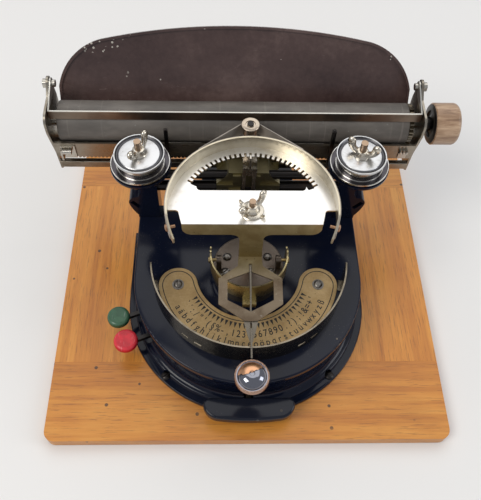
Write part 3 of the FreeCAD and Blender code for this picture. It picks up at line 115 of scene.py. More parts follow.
class Paint:
    """One material: its node tree is written as expressions."""

    def __init__(self, name):
        self.material = bpy.data.materials.new(name)
        self.material.use_nodes = True
        self.tree = self.material.node_tree
        self.tree.nodes.clear()
        self.where = self.add("TexCoord", pick="Object")

    def add(self, kind, settings=None, pick=0, **values):
        node = self.tree.nodes.new("ShaderNode" + kind)
        for key, value in (settings or {}).items():
            if key == "stops":
                ramp = node.color_ramp
                while len(ramp.elements) < len(value):
                    ramp.elements.new(0.5)
                for element, (place, colour) in zip(ramp.elements, value):
                    element.position = place
                    element.color = (*colour, 1.0)
            else:
                setattr(node, key, value)
        for key, value in values.items():
            number = key[1:]
            by_number = key[0] == "i" and number.isdigit()
            socket = node.inputs[int(number) if by_number else key.replace("_", " ")]
            if isinstance(value, Wire):
                self.tree.links.new(value.socket, socket)
            elif socket.type == "RGBA" and isinstance(value, tuple) and len(value) == 3:
                socket.default_value = (*value, 1.0)
            else:
                socket.default_value = value
        return Wire(self, node.outputs[pick])

    def space(self, scale=(1, 1, 1), turn=(0, 0, 0), shift=(0, 0, 0)):
        return self.add("Mapping", Vector=self.where, Scale=scale, Rotation=turn, Location=shift)

    def noise(self, vector, scale, detail, rough=0.5, distortion=0.0):
        return self.add("TexNoise", Vector=vector or self.where, Scale=scale, Detail=detail,
                        Roughness=rough, Distortion=distortion)

    def cells(self, vector, scale):
        """Distance to the nearest of many scattered points, in cells."""
        return self.add("TexVoronoi", {"feature": "F1"}, "Distance", Vector=vector or self.where,
                        Scale=scale, Randomness=1.0)

    def axis(self, which):
        node = self.tree.nodes.new("ShaderNodeSeparateXYZ")
        self.tree.links.new(self.where.socket, node.inputs[0])
        return Wire(self, node.outputs["XYZ".index(which)])

    def reach(self, x, y):
        """Distance from the upright line through x, y."""
        dx = self.axis("X") - x
        dy = self.axis("Y") - y
        return (dx * dx + dy * dy) ** 0.5

    def mix(self, factor, first, second):
        return self.add("Mix", {"data_type": "RGBA"}, 2, i0=factor, i6=first, i7=second)

    def ramp(self, value, *stops):
        return self.add("ValToRGB", {"stops": stops}, Fac=value)

    def bump(self, height, strength, distance):
        return self.add("Bump", Height=height, Strength=strength, Distance=distance)

    def finish(self, **values):
        shell = self.add("BsdfPrincipled", **values)
        out = self.tree.nodes.new("ShaderNodeOutputMaterial")
        self.tree.links.new(shell.socket, out.inputs["Surface"])
        return self.material


# ---------------------------------------------------------------- finishes
def board_wood(name, along, seed, tone=1.0):
    """Varnished pale hardwood, its grain along one axis, with pores, stains and small holes."""
    p = Paint(name)
    long = {"X": (1.6, 30.0, 30.0), "Y": (30.0, 1.6, 30.0)}[along]
    flow = p.space(scale=long, shift=(seed, seed * 0.37, 0.0))
    wave = p.noise(flow, 1.3, 4.0, 0.55, 0.8)
    fine = p.noise(flow, 14.0, 6.0, 0.68, 0.2)
    pores = p.noise(p.space(scale=tuple(v * 12 for v in long), shift=(seed, 0, 0)), 3.6, 3.0, 0.6)
    broad = p.noise(p.space(shift=(seed, 0, 0)), 14.0, 3.0, 0.6)
    rings = (wave * 26.0 + broad * 3.0).sine() * 0.5 + 0.5
    base = p.ramp((fine * 0.50 + rings * 0.16 + broad * 0.40).clamp(),
                  (0.22, (0.350 * tone, 0.102 * tone, 0.009 * tone)),
                  (0.42, (0.510 * tone, 0.175 * tone, 0.018 * tone)),
                  (0.60, (0.640 * tone, 0.252 * tone, 0.032 * tone)),
                  (0.82, (0.745 * tone, 0.352 * tone, 0.064 * tone)))
    dark = pores.step(0.56, 0.66)
    base = p.mix(dark * 0.50, base, (0.21, 0.070, 0.014))
    stain = p.noise(p.space(shift=(seed * 2.0, 3.0, 0.0)), 9.0, 4.0, 0.6).step(0.57, 0.78)
    base = p.mix(stain * 0.34, base, (0.225, 0.082, 0.020))
    spots = p.cells(p.space(shift=(seed, 1.0, 0.0)), 70.0)
    groups = p.noise(p.space(shift=(seed, 7.0, 2.0)), 9.0, 2.0).step(0.50, 0.54)
    holes = (spots.below(0.085) * groups).clamp()
    base = p.mix(holes * 0.85, base, (0.045, 0.022, 0.010))
    height = fine * 0.35 - dark * 0.5 - holes * 1.5
    return p.finish(Base_Color=base, Roughness=(0.36 + fine * 0.18 + stain * 0.10),
                    Coat_Weight=0.25, Coat_Roughness=0.22,
                    Normal=p.bump(height, 0.25, 0.00015))


def black_enamel(name, sky_tinted_black=(0.0050, 0.0072, 0.0175), worn=1.0):
    """Stoved black enamel on cast iron: glossy, a little wavy, with dust, rubs and chips; the blue
    cast in its black is a painted reflection of the sky.
    """
    p = Paint(name)
    soft = p.noise(None, 26.0, 3.0, 0.55)
    fine = p.noise(None, 420.0, 3.0, 0.6)
    rub = p.noise(p.space(scale=(1.0, 1.0, 2.2)), 38.0, 5.0, 0.7).step(0.58, 0.78)
    # The blue in the black colour is a painted sky reflection; rubs, chips and dust are wear.
    base = p.mix(rub * 0.35 * worn, sky_tinted_black, (0.030, 0.026, 0.022))
    chips = (p.cells(None, 95.0).below(0.105) * p.noise(None, 30.0, 2.0).step(0.60, 0.66)).clamp()
    base = p.mix(chips * worn, base, (0.155, 0.135, 0.11))
    dust = (p.cells(None, 620.0).below(0.16) * p.noise(None, 55.0, 2.0).step(0.50, 0.62)).clamp()
    base = p.mix(dust * 0.35, base, (0.10, 0.095, 0.088))
    rough = 0.08 + soft * 0.10 + rub * 0.20 + chips * 0.4
    return p.finish(Base_Color=base, Roughness=rough, Specular_IOR_Level=0.24,
                    Normal=p.bump(soft * 0.7 + fine * 0.05 - chips * 0.25, 0.08, 0.0004))


def plated(name, clean, tarnish, spread, rough, lines=None, metal=1.0):
    """Plated or bare metal, polished once and tarnished since."""
    p = Paint(name)
    cloud = p.noise(None, 45.0, 5.0, 0.62, 0.3)
    fine = p.noise(None, 405.0, 3.0, 0.6)
    patch = (cloud * 0.8 + fine * 0.2).step(0.62 - spread * 0.28, 0.86 - spread * 0.20)
    base = p.mix(patch, clean, tarnish)
    streak = fine
    if lines:
        streak = p.noise(p.space(scale=lines), 60.0, 3.0, 0.6)
        base = p.mix(streak.step(0.35, 0.75) * 0.22, base, tuple(c * 0.62 for c in clean))
    spots = (p.cells(None, 260.0).below(0.10) * cloud.step(0.48, 0.62)).clamp()
    base = p.mix(spots * 0.7, base, tuple(c * 0.35 for c in tarnish))
    return p.finish(Base_Color=base, Metallic=metal,
                    Roughness=(rough + patch * 0.16 + streak * 0.08),
                    Normal=p.bump(streak * 0.5 + cloud * 0.5, 0.06, 0.00012))


def index_brass(name):
    """Satin brass sheet with a warm patina and fine scratches."""
    p = Paint(name)
    cloud = p.noise(None, 70.0, 4.0, 0.6)
    grain = p.noise(None, 900.0, 3.0, 0.6)
    across = p.space(scale=(4.0, 60.0, 1.0), turn=(0, 0, 0.5))
    scratch = p.noise(across, 30.0, 3.0, 0.6).step(0.60, 0.72)
    base = p.ramp((cloud * 0.7 + grain * 0.3).clamp(), (0.30, (0.325, 0.215, 0.098)),
                  (0.50, (0.430, 0.298, 0.142)), (0.72, (0.560, 0.412, 0.222)))
    base = p.mix(scratch * 0.22, base, (0.70, 0.57, 0.36))
    spots = (p.cells(None, 330.0).below(0.13) * cloud.step(0.50, 0.66)).clamp()
    base = p.mix(spots * 0.55, base, (0.14, 0.085, 0.035))
    return p.finish(Base_Color=base, Metallic=0.85,
                    Roughness=(0.40 + grain * 0.16 + scratch * 0.05),
                    Normal=p.bump(grain, 0.10, 0.00005))


def knob_chrome(name):
    """Plating on the knob, painted dark and bluish as a painted reflection of dark surroundings,
    worn to copper on the rear of its dome and on its rim.
    """
    p = Paint(name)
    cloud = p.noise(p.space(shift=(0.013, 0.004, 0.0)), 130.0, 4.0, 0.62, 0.5)
    dx = p.axis("X") - KNOB_CENTRE.x
    dy = p.axis("Y") - KNOB_CENTRE.y
    reach = p.reach(KNOB_CENTRE.x, KNOB_CENTRE.y)
    rear = (dy * 0.92 - dx * 0.38).step(-0.0030, 0.0020) * (1.0 - reach.step(0.0082, 0.0090))
    bare = rear * 0.52 + cloud * 0.62
    worn = bare.step(0.74, 0.78)
    edge = bare.step(0.69, 0.735) * (1.0 - worn)
    rim = reach.step(0.0091, 0.0095)
    speckle = (p.cells(None, 520.0).below(0.16) * reach.step(0.0068, 0.0080)).clamp()
    # The dark bluish chrome colour is a painted reflection of dark surroundings; the copper is
    # wear.
    base = p.mix(worn, (0.230, 0.236, 0.270), (0.640, 0.350, 0.200))
    base = p.mix((edge + speckle * 0.8).clamp(), base, (0.020, 0.016, 0.016))
    base = p.mix(rim, base, (0.400, 0.235, 0.160))
    fine = p.noise(None, 900.0, 2.0)
    rough = 0.05 + worn * 0.24 + edge * 0.25 + rim * 0.20 + fine * 0.04
    return p.finish(Base_Color=base, Metallic=1.0, Roughness=rough)


def sector_plate(name):
    """Sheet of the sector: a flat top painted bright as a painted sunlit highlight, a gold flange
    and stem, a brown sloping frame.
    """
    p = Paint(name)
    cloud = p.noise(None, 60.0, 5.0, 0.62, 0.3)
    fine = p.noise(None, 520.0, 3.0, 0.6)
    brush = p.noise(p.space(scale=(1.0, 12.0, 12.0)), 70.0, 3.0, 0.6)
    top = p.axis("Z").step(*SECTOR_TOP_EDGE)
    stem = p.axis("Z").step(*STEM_EDGE)
    gold = p.mix(cloud.step(0.35, 0.68), (0.470, 0.395, 0.215), (0.330, 0.255, 0.120))
    brown = p.mix(cloud.step(0.38, 0.66), (0.250, 0.195, 0.135), (0.150, 0.108, 0.070))
    # Painted highlight: the flat top is painted near white, as sunlit, on the same sheet as the
    # flange and frame.
    sunlit_silver = p.mix(cloud.step(0.50, 0.74), (0.800, 0.785, 0.755), (0.640, 0.600, 0.540))
    base = p.mix(stem, brown, gold)
    base = p.mix(top, base, sunlit_silver)
    base = p.mix(fine.step(0.62, 0.74) * 0.18, base, (0.90, 0.88, 0.82))
    spots = (p.cells(None, 300.0).below(0.11) * cloud.step(0.50, 0.62)).clamp()
    base = p.mix(spots * 0.6 * (1.0 - top * 0.6), base, (0.085, 0.055, 0.034))
    return p.finish(Base_Color=base, Metallic=0.92,
                    Roughness=(0.24 + brush * 0.12 + (1.0 - top) * 0.06),
                    Normal=p.bump(fine * 0.5 + brush * 0.5, 0.06, 0.0001))


def cover_chrome(name, centre):
    """Plated lid of a spool: a bright flat top, a channel round it darkened as painted shade, and a
    thin bright rim.
    """
    p = Paint(name)
    reach = p.reach(centre, SPOOL_Y)
    cloud = p.noise(None, 90.0, 5.0, 0.65, 0.5)
    fine = p.noise(None, 800.0, 3.0, 0.6)
    # Painted shade: the sunken channel round the top is darkened.
    groove_shade = reach.step(0.0126, 0.0128) * (1.0 - reach.step(0.0147, 0.0149))
    groove_shade = groove_shade * p.axis("Z").step(*LID_FLOOR_EDGE)
    base = p.mix(cloud.step(0.46, 0.72), (0.600, 0.605, 0.610), (0.450, 0.440, 0.425))
    specks = (p.cells(None, 420.0).below(0.13) * cloud.step(0.50, 0.60)).clamp()
    base = p.mix(specks * 0.55, base, (0.16, 0.13, 0.10))
    base = p.mix(groove_shade * 0.90, base, (0.030, 0.029, 0.034))
    return p.finish(Base_Color=base, Metallic=1.0,
                    Roughness=(0.20 + fine * 0.10 + cloud * 0.10),
                    Normal=p.bump(cloud, 0.05, 0.0002))


def spool_metal(name, centre):
    """Plated can of a spool on a dark flange, whose thin outer edge keeps the bright plating as a
    painted highlight.
    """
    p = Paint(name)
    reach = p.reach(centre, SPOOL_Y)
    cloud = p.noise(None, 70.0, 5.0, 0.65, 0.4)
    # The flange is dark from 15 to 17.8 mm; the thin edge beyond it stays bright, a painted
    # highlight.
    flange = reach.step(0.0149, 0.0152) * (1.0 - reach.step(0.0178, 0.0181))
    base = p.mix(cloud.step(0.40, 0.70), (0.560, 0.550, 0.530), (0.300, 0.275, 0.235))
    base = p.mix(flange, base, (0.070, 0.066, 0.072))
    return p.finish(Base_Color=base, Metallic=1.0, Roughness=(0.12 + cloud * 0.16))


def bail_metal(name):
    """Steel bar, brown on its face, with a painted highlight along its upper edge."""
    p = Paint(name)
    run = p.noise(p.space(scale=(1.0, 12.0, 12.0)), 50.0, 4.0, 0.65)
    cloud = p.noise(None, 40.0, 4.0, 0.6)
    # Painted highlight: a bright band along the bar's upper edge.
    edge = p.axis("Z").step(BAIL_EDGE - 0.0007, BAIL_EDGE - 0.0002)
    face = p.mix(cloud.step(0.35, 0.7), (0.115, 0.088, 0.070), (0.200, 0.160, 0.125))
    base = p.mix(edge, face, (0.560, 0.545, 0.500))
    base = p.mix(run.step(0.55, 0.72) * 0.35, base, (0.300, 0.250, 0.200))
    return p.finish(Base_Color=base, Metallic=0.9, Roughness=(0.26 + run * 0.14))


def rubber(name, tone, lines=False):
    """Old roller rubber: matte, dusty, with faint marks round it."""
    p = Paint(name)
    cloud = p.noise(p.space(scale=(0.35, 1.0, 1.0)), 60.0, 4.0, 0.6)
    fine = p.noise(None, 700.0, 3.0, 0.6)
    base = p.mix(cloud.step(0.38, 0.72),
                 tuple(c * 0.72 for c in tone), tuple(c * 1.35 for c in tone))
    if lines:
        marks = p.noise(p.space(scale=(40.0, 1.0, 1.0)), 12.0, 2.0, 0.5).step(0.60, 0.75)
        base = p.mix(marks * 0.35, base, tuple(c * 1.9 for c in tone))
        specks = (p.cells(None, 240.0).below(0.10) * cloud.step(0.5, 0.6)).clamp()
        base = p.mix(specks * 0.5, base, (0.30, 0.30, 0.29))
    return p.finish(Base_Color=base, Roughness=(0.46 + fine * 0.16),
                    Normal=p.bump(fine, 0.12, 0.0001))


def table_enamel(name):
    """Thin dark brown enamel on sheet steel, rubbed, with pale chips near the left shoulder."""
    p = Paint(name)
    broad = p.noise(p.space(scale=(1.0, 1.0, 1.6)), 16.0, 4.0, 0.6)
    fine = p.noise(None, 300.0, 4.0, 0.65)
    base = p.ramp((broad * 0.75 + fine * 0.25).clamp(), (0.32, (0.038, 0.0205, 0.0190)),
                  (0.52, (0.072, 0.0430, 0.0385)), (0.72, (0.135, 0.0890, 0.0780)))
    slope = p.space(scale=(0.8, 1.0, 6.0), turn=(0, 0.3, 0))
    scuff = p.noise(slope, 70.0, 4.0, 0.7).step(0.64, 0.76)
    base = p.mix(scuff * 0.30, base, (0.17, 0.13, 0.115))
    left = (0.0 - p.axis("X")).step(0.058, 0.098) * p.axis("Z").step(0.131, 0.143)
    groups = (p.noise(None, 120.0, 3.0) + left * 0.26).step(0.70, 0.76)
    chips = (p.cells(None, 360.0).below(0.26) * groups).clamp()
    base = p.mix(chips, base, (0.50, 0.46, 0.40))
    return p.finish(Base_Color=base, Roughness=(0.20 + broad * 0.12 + scuff * 0.2),
                    Normal=p.bump(fine * 0.3 - chips * 0.4, 0.12, 0.00012))


def key_gloss(name, colour, centre, radius):
    """Glossy moulded cap: a lighter band inside its edge as a painted highlight, leaving a darker
    rim line, faint swirl and rubbed top.
    """
    p = Paint(name)
    reach = p.reach(*centre)
    # Painted highlight: a lighter band just inside the cap's edge.
    rim = reach.step(radius * 0.70, radius * 0.86) \
        * (1.0 - reach.step(radius * 0.93, radius * 0.99))
    cloud = p.noise(None, 160.0, 4.0, 0.6, 0.5)
    base = p.mix(cloud.step(0.35, 0.7) * 0.55, colour,
                 tuple(min(1.0, c * 1.7 + 0.012) for c in colour))
    base = p.mix(rim * 0.35, base, tuple(min(1.0, c * 1.5 + 0.10) for c in colour))
    scratch = p.noise(p.space(scale=(20.0, 3.0, 1.0), turn=(0, 0, 0.9)), 60.0, 2.0).step(0.62, 0.72)
    base = p.mix(scratch * 0.12, base, (0.75, 0.72, 0.70))
    return p.finish(Base_Color=base, Roughness=(0.12 + cloud * 0.14 + scratch * 0.2),
                    Specular_IOR_Level=0.40)


def turned_wood(name):
    """Pale turned wood with brown streaks that run along the roller's axis."""
    p = Paint(name)
    flow = p.space(scale=(9.0, 60.0, 60.0), shift=(0.2, 0.1, 0.0))
    grain = p.noise(flow, 4.0, 5.0, 0.62, 0.6)
    fine = p.noise(p.space(scale=(30.0, 260.0, 260.0)), 3.0, 2.0)
    base = p.ramp((grain * 0.8 + fine * 0.2).clamp(),
                  (0.30, (0.150, 0.080, 0.042)), (0.48, (0.330, 0.205, 0.120)),
                  (0.62, (0.520, 0.360, 0.235)), (0.80, (0.640, 0.490, 0.350)))
    return p.finish(Base_Color=base, Roughness=(0.34 + fine * 0.2),
                    Coat_Weight=0.25, Coat_Roughness=0.25,
                    Normal=p.bump(grain * 0.6 + fine * 0.4, 0.2, 0.00012))


def plain_stage(name, colour):
    """Matte floor with a very faint cloud in it."""
    p = Paint(name)
    soft = p.noise(None, 3.0, 2.0, 0.5)
    base = p.mix(soft, tuple(c * 0.985 for c in colour), colour)
    return p.finish(Base_Color=base, Roughness=0.75)


FINISH = {
    "panel": board_wood("honey_wood_panel", "Y", 3.1),
    "cleat": board_wood("honey_wood_cleat", "X", 7.7, 0.94),
    # Both black enamels carry a painted blue sky reflection in their black colour.
    "enamel": black_enamel("black_enamel"),
    "bar": black_enamel("bar_gloss", (0.010, 0.0115, 0.019), 0.35),
    "index": index_brass("index_brass"),
    "ink": plated("engraving_black", (0.012, 0.011, 0.010),
                  (0.03, 0.024, 0.018), 0.4, 0.45, metal=0.0),
    "sector": sector_plate("sector_plate"),
    "ring": plated("ring_nickel", (0.560, 0.500, 0.380), (0.360, 0.295, 0.190), 0.6, 0.28),
    "rail": plated("rail_nickel", (0.215, 0.185, 0.140), (0.085, 0.068, 0.050), 0.6, 0.15),
    "yoke": plated("yoke_brass", (0.480, 0.400, 0.215), (0.270, 0.200, 0.095), 0.5, 0.24),
    "disc": plated("disc_iron", (0.150, 0.122, 0.100),
                   (0.085, 0.062, 0.048), 0.5, 0.34, metal=0.85),
    "steel": plated("bright_steel", (0.500, 0.475, 0.425), (0.260, 0.215, 0.160), 0.45, 0.20),
    "grey": plated("grey_steel", (0.230, 0.215, 0.195), (0.115, 0.092, 0.074), 0.5, 0.30),
    "dark": plated("blackened_steel", (0.040, 0.037, 0.036), (0.080, 0.060, 0.046), 0.4, 0.30),
    "lever": plated("lever_steel", (0.300, 0.265, 0.210), (0.150, 0.115, 0.080), 0.5, 0.24),
    "left_spool": spool_metal("left_spool_chrome", -SPOOL_X),
    "right_spool": spool_metal("right_spool_chrome", SPOOL_X),
    "left_cover": cover_chrome("left_cover_chrome", -SPOOL_X),
    "right_cover": cover_chrome("right_cover_chrome", SPOOL_X),
    "nut": plated("wing_nut_nickel", (0.640, 0.590, 0.500), (0.360, 0.285, 0.190), 0.5, 0.20),
    "stud": plated("copper_stud", (0.360, 0.255, 0.175), (0.180, 0.120, 0.080), 0.5, 0.26),
    "rivet": plated("copper_rivet", (0.400, 0.235, 0.140), (0.200, 0.110, 0.065), 0.5, 0.30),
    "roller": plated("roller_nickel", (0.470, 0.400, 0.320), (0.290, 0.215, 0.150), 0.5, 0.24),
    "brass": plated("old_brass", (0.500, 0.380, 0.190), (0.260, 0.170, 0.080), 0.5, 0.26),
    "saddle": plated("saddle_brass", (0.330, 0.290, 0.165), (0.190, 0.150, 0.080), 0.6, 0.34),
    "carriage": plated("carriage_nickel", (0.330, 0.300, 0.250),
                       (0.180, 0.145, 0.105), 0.6, 0.24, lines=(1.0, 14.0, 14.0)),
    "bail": bail_metal("bail_steel"),
    "rubber": rubber("platen_rubber", (0.122, 0.108, 0.094), True),
    "band": rubber("band_rubber", (0.340, 0.300, 0.255)),
    "felt": rubber("roll_rubber", (0.080, 0.074, 0.068)),
    "table": table_enamel("table_enamel"),
    "knob": knob_chrome("knob_chrome"),
    "bead": plated("bead_copper", (0.480, 0.340, 0.260), (0.270, 0.160, 0.105), 0.5, 0.26),
    "turned": turned_wood("turned_wood"),
    "green": key_gloss("green_cap", (0.018, 0.078, 0.034), (-0.0883, -0.0240), 0.0076),
    "red": key_gloss("red_cap", (0.490, 0.003, 0.016), (-0.0818, -0.0415), 0.0080),
}


# ---------------------------------------------------------------- mesh helpers
MERGE = 1.5e-6          # points of a CAD mesh closer than this become one
FLAT = 0.3              # CAD edges that bend by fewer degrees than this are dissolved
BEVEL_FROM = 35         # edges that bend by more degrees than this are softened
ARC_STEPS = 64          # points along each long arc of the index outline
END_STEPS = 20          # points round each of its ends
TONGUE_SIDES = 14


def body_of(node):
    for body, nodes in frame["record"]["behaviour"]["bodies"].items():
        if node in nodes:
            return body
    return None


def slot_of(node):
    for part in frame["record"]["subparts"]:
        if part["node"] == node:
            return part["material_slot"]
    return None


def settle(obj, node, finish, stands_for=()):
    """Give a piece its material and the body of a node, and look up the node's slot; it may stand
    for nodes.
    """
    obj.data.materials.clear()
    obj.data.materials.append(FINISH[finish])
    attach(obj, body_of(node))
    if stands_for:
        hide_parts(*stands_for)
    slot_of(node)


def link(name, data):
    obj = bpy.data.objects.new(name, data)
    bpy.context.scene.collection.objects.link(obj)
    return obj


def shade(bm, smooth):
    """Smooth faces, with sharp edges where they bend by more degrees than smooth."""
    limit = math.radians(smooth)
    for edge in bm.edges:
        edge.smooth = len(edge.link_faces) == 2 and edge.calc_face_angle(0.0) < limit
    for face in bm.faces:
        face.smooth = True


def to_object(name, bm):
    mesh = bpy.data.meshes.new(name)
    bm.to_mesh(mesh)
    bm.free()
    return link(name, mesh)


def from_bmesh(name, bm, smooth=30.0):
    bmesh.ops.recalc_face_normals(bm, faces=bm.faces)
    shade(bm, smooth)
    return to_object(name, bm)


def evaluated_mesh(obj):
    """The mesh of an object as its modifiers or its curve settings make it."""
    graph = bpy.context.evaluated_depsgraph_get()
    return bpy.data.meshes.new_from_object(obj.evaluated_get(graph))


def plain_mesh(obj):
    """The object with its modifiers worked in, as a plain mesh at the origin."""
    mesh = evaluated_mesh(obj)
    mesh.transform(obj.matrix_world)
    name = obj.name
    bpy.data.objects.remove(obj)
    mesh.name = name
    return link(name, mesh)


def dress(node, finish, bevel=0.0, smooth=28.0, segments=2):
    """A merged, smooth copy of a CAD node with softened edges takes its place."""
    bm = bmesh.new()
    bm.from_mesh(frame["nodes"][node].data)
    bmesh.ops.remove_doubles(bm, verts=bm.verts, dist=MERGE)
    bmesh.ops.dissolve_limit(bm, angle_limit=math.radians(FLAT), verts=bm.verts, edges=bm.edges)
    shade(bm, smooth)
    obj = to_object(node + "_piece", bm)
    if bevel:
        soften = obj.modifiers.new("soft_edges", "BEVEL")
        soften.width = bevel
        soften.segments = segments
        soften.limit_method = "ANGLE"
        soften.angle_limit = math.radians(BEVEL_FROM)
        soften.harden_normals = True
        soften.use_clamp_overlap = True
        obj = plain_mesh(obj)
    settle(obj, node, finish, (node,))


def skin(bm, low, high):
    """Faces between two closed rows of points. A row of one point is a tip."""
    count = max(len(low), len(high))
    for n in range(count):
        m = (n + 1) % count
        if len(low) == 1:
            bm.faces.new((low[0], high[m], high[n]))
        elif len(high) == 1:
            bm.faces.new((low[n], low[m], high[0]))
        else:
            bm.faces.new((low[n], low[m], high[m], high[n]))


def turned_into(bm, profile, place, turns=40):
    """Add a turned solid. The profile is (radius, height) in mm, from axis to axis."""
    rows = []
    for radius, height in profile:
        row = []
        for n in range(turns if radius else 1):
            a = 2 * math.pi * n / turns
            point = Vector((radius * math.cos(a), radius * math.sin(a), height))
            row.append(bm.verts.new(place @ (point * MM)))
        rows.append(row)
    for low, high in zip(rows, rows[1:]):
        skin(bm, low, high)


def lathe(name, profile, centre, turns=40, smooth=30.0):
    bm = bmesh.new()
    turned_into(bm, profile, Matrix.Translation(centre), turns)
    return from_bmesh(name, bm, smooth)


def tongue(bm, rows, place):
    """Add a rounded ear. Each row is x, z and the half sizes across its path and along Y, in mm."""
    path = [(x, z) for x, z, wide, thick in rows]
    made = []
    for number, (x, z, wide, thick) in enumerate(rows):
        before = path[max(0, number - 1)]
        after = path[min(len(path) - 1, number + 1)]
        along = Vector((after[0] - before[0], 0.0, after[1] - before[1])).normalized()
        side = Vector((along.z, 0.0, -along.x))
        row = []
        for n in range(TONGUE_SIDES):
            a = 2 * math.pi * n / TONGUE_SIDES
            point = Vector((x, 0.0, z)) + side * (wide * math.cos(a)) \
                + Vector((0.0, thick * math.sin(a), 0.0))
            row.append(bm.verts.new(place @ (point * MM)))
        made.append(row)
    for low, high in zip(made, made[1:]):
        skin(bm, low, high)
    bm.faces.new(made[0])
    bm.faces.new(made[-1])


def prism(name, outline, low, high):
    bm = bmesh.new()
    bottom = [bm.verts.new((x, y, low)) for x, y in outline]
    top = [bm.verts.new((x, y, high)) for x, y in outline]
    bm.faces.new(bottom)
    bm.faces.new(top)
    skin(bm, bottom, top)
    return from_bmesh(name, bm)


def arc_points(centre, radius, first, last, steps):
    out = []
    for n in range(steps + 1):
        a = math.radians(first + (last - first) * n / steps)
        out.append((centre[0] + radius * math.cos(a), centre[1] + radius * math.sin(a)))
    return out


def crescent(inset):
    """Outline of the index plate, set in from its edge. Angles run anticlockwise from +X."""
    outer = INDEX_OUTER - inset
    inner = INDEX_INNER + inset
    mid = (INDEX_OUTER + INDEX_INNER) / 2
    half = (outer - inner) / 2
    left = 180 + INDEX_END
    right = 360 - INDEX_END

    def round_end(angle, first):
        a = math.radians(angle)
        centre = (mid * math.cos(a), mid * math.sin(a))
        return arc_points(centre, half, first, first + 180, END_STEPS)[1:-1]

    return (arc_points((0, 0), outer, left, right, ARC_STEPS) + round_end(right, right)
            + arc_points((0, 0), inner, right, left, ARC_STEPS) + round_end(left, left + 180))


def loop_strip(name, outside, inside, low, high):
    """A closed band between two outlines of equal count, with thickness."""
    bm = bmesh.new()
    rows = []
    for points, z in ((outside, low), (outside, high), (inside, high), (inside, low)):
        rows.append([bm.verts.new((x, y, z)) for x, y in points])
    for n, row in enumerate(rows):
        skin(bm, row, rows[(n + 1) % len(rows)])
    return from_bmesh(name, bm)


def ring_of(name, source, count, radius, first, pitch, height, finish):
    """Copies of a small piece round the Z axis, made by a tree of geometry nodes."""
    tree = bpy.data.node_groups.new(name + "_tree", "GeometryNodeTree")
    face = tree.interface
    inputs = (("Piece", "NodeSocketObject"), ("Count", "NodeSocketInt"),
              ("Radius", "NodeSocketFloat"), ("First", "NodeSocketFloat"),
              ("Pitch", "NodeSocketFloat"), ("Height", "NodeSocketFloat"),
              ("Finish", "NodeSocketMaterial"))
    for label, kind in inputs:
        face.new_socket(label, in_out="INPUT", socket_type=kind)
    face.new_socket("Geometry", in_out="OUTPUT", socket_type="NodeSocketGeometry")

    def math_node(kind, *values):
        made = tree.nodes.new("ShaderNodeMath")
        made.operation = kind
        for n, value in enumerate(values):
            tree.links.new(value, made.inputs[n])
        return made.outputs[0]

    given = tree.nodes.new("NodeGroupInput").outputs
    line = tree.nodes.new("GeometryNodeMeshLine")
    line.mode = "OFFSET"
    tree.links.new(given["Count"], line.inputs["Count"])
    index = tree.nodes.new("GeometryNodeInputIndex").outputs[0]
    angle = math_node("ADD", math_node("MULTIPLY", index, given["Pitch"]), given["First"])
    place = tree.nodes.new("ShaderNodeCombineXYZ")
    for n, kind in enumerate(("COSINE", "SINE")):
        tree.links.new(math_node("MULTIPLY", math_node(kind, angle), given["Radius"]),
                       place.inputs[n])
    tree.links.new(given["Height"], place.inputs[2])
    spread = tree.nodes.new("GeometryNodeSetPosition")
    tree.links.new(line.outputs[0], spread.inputs["Geometry"])
    tree.links.new(place.outputs[0], spread.inputs["Position"])
    info = tree.nodes.new("GeometryNodeObjectInfo")
    tree.links.new(given["Piece"], info.inputs["Object"])
    turn = tree.nodes.new("ShaderNodeCombineXYZ")
    tree.links.new(angle, turn.inputs[2])
    copies = tree.nodes.new("GeometryNodeInstanceOnPoints")
    tree.links.new(spread.outputs[0], copies.inputs["Points"])
    tree.links.new(info.outputs["Geometry"], copies.inputs["Instance"])
    tree.links.new(turn.outputs[0], copies.inputs["Rotation"])
    real = tree.nodes.new("GeometryNodeRealizeInstances")
    tree.links.new(copies.outputs[0], real.inputs[0])
    paint = tree.nodes.new("GeometryNodeSetMaterial")
    tree.links.new(real.outputs[0], paint.inputs["Geometry"])
    tree.links.new(given["Finish"], paint.inputs["Material"])
    out = tree.nodes.new("NodeGroupOutput")
    tree.links.new(paint.outputs[0], out.inputs[0])

    carrier = link(name, bpy.data.meshes.new(name))
    modifier = carrier.modifiers.new("copies", "NODES")
    modifier.node_group = tree
    values = {"Piece": source, "Count": count, "Radius": radius, "First": math.radians(first),
              "Pitch": math.radians(pitch), "Height": height, "Finish": FINISH[finish]}
    for item in face.items_tree:
        if item.in_out == "INPUT":
            modifier[item.identifier] = values[item.name]
    made = plain_mesh(carrier)
    bpy.data.objects.remove(source)
    return made


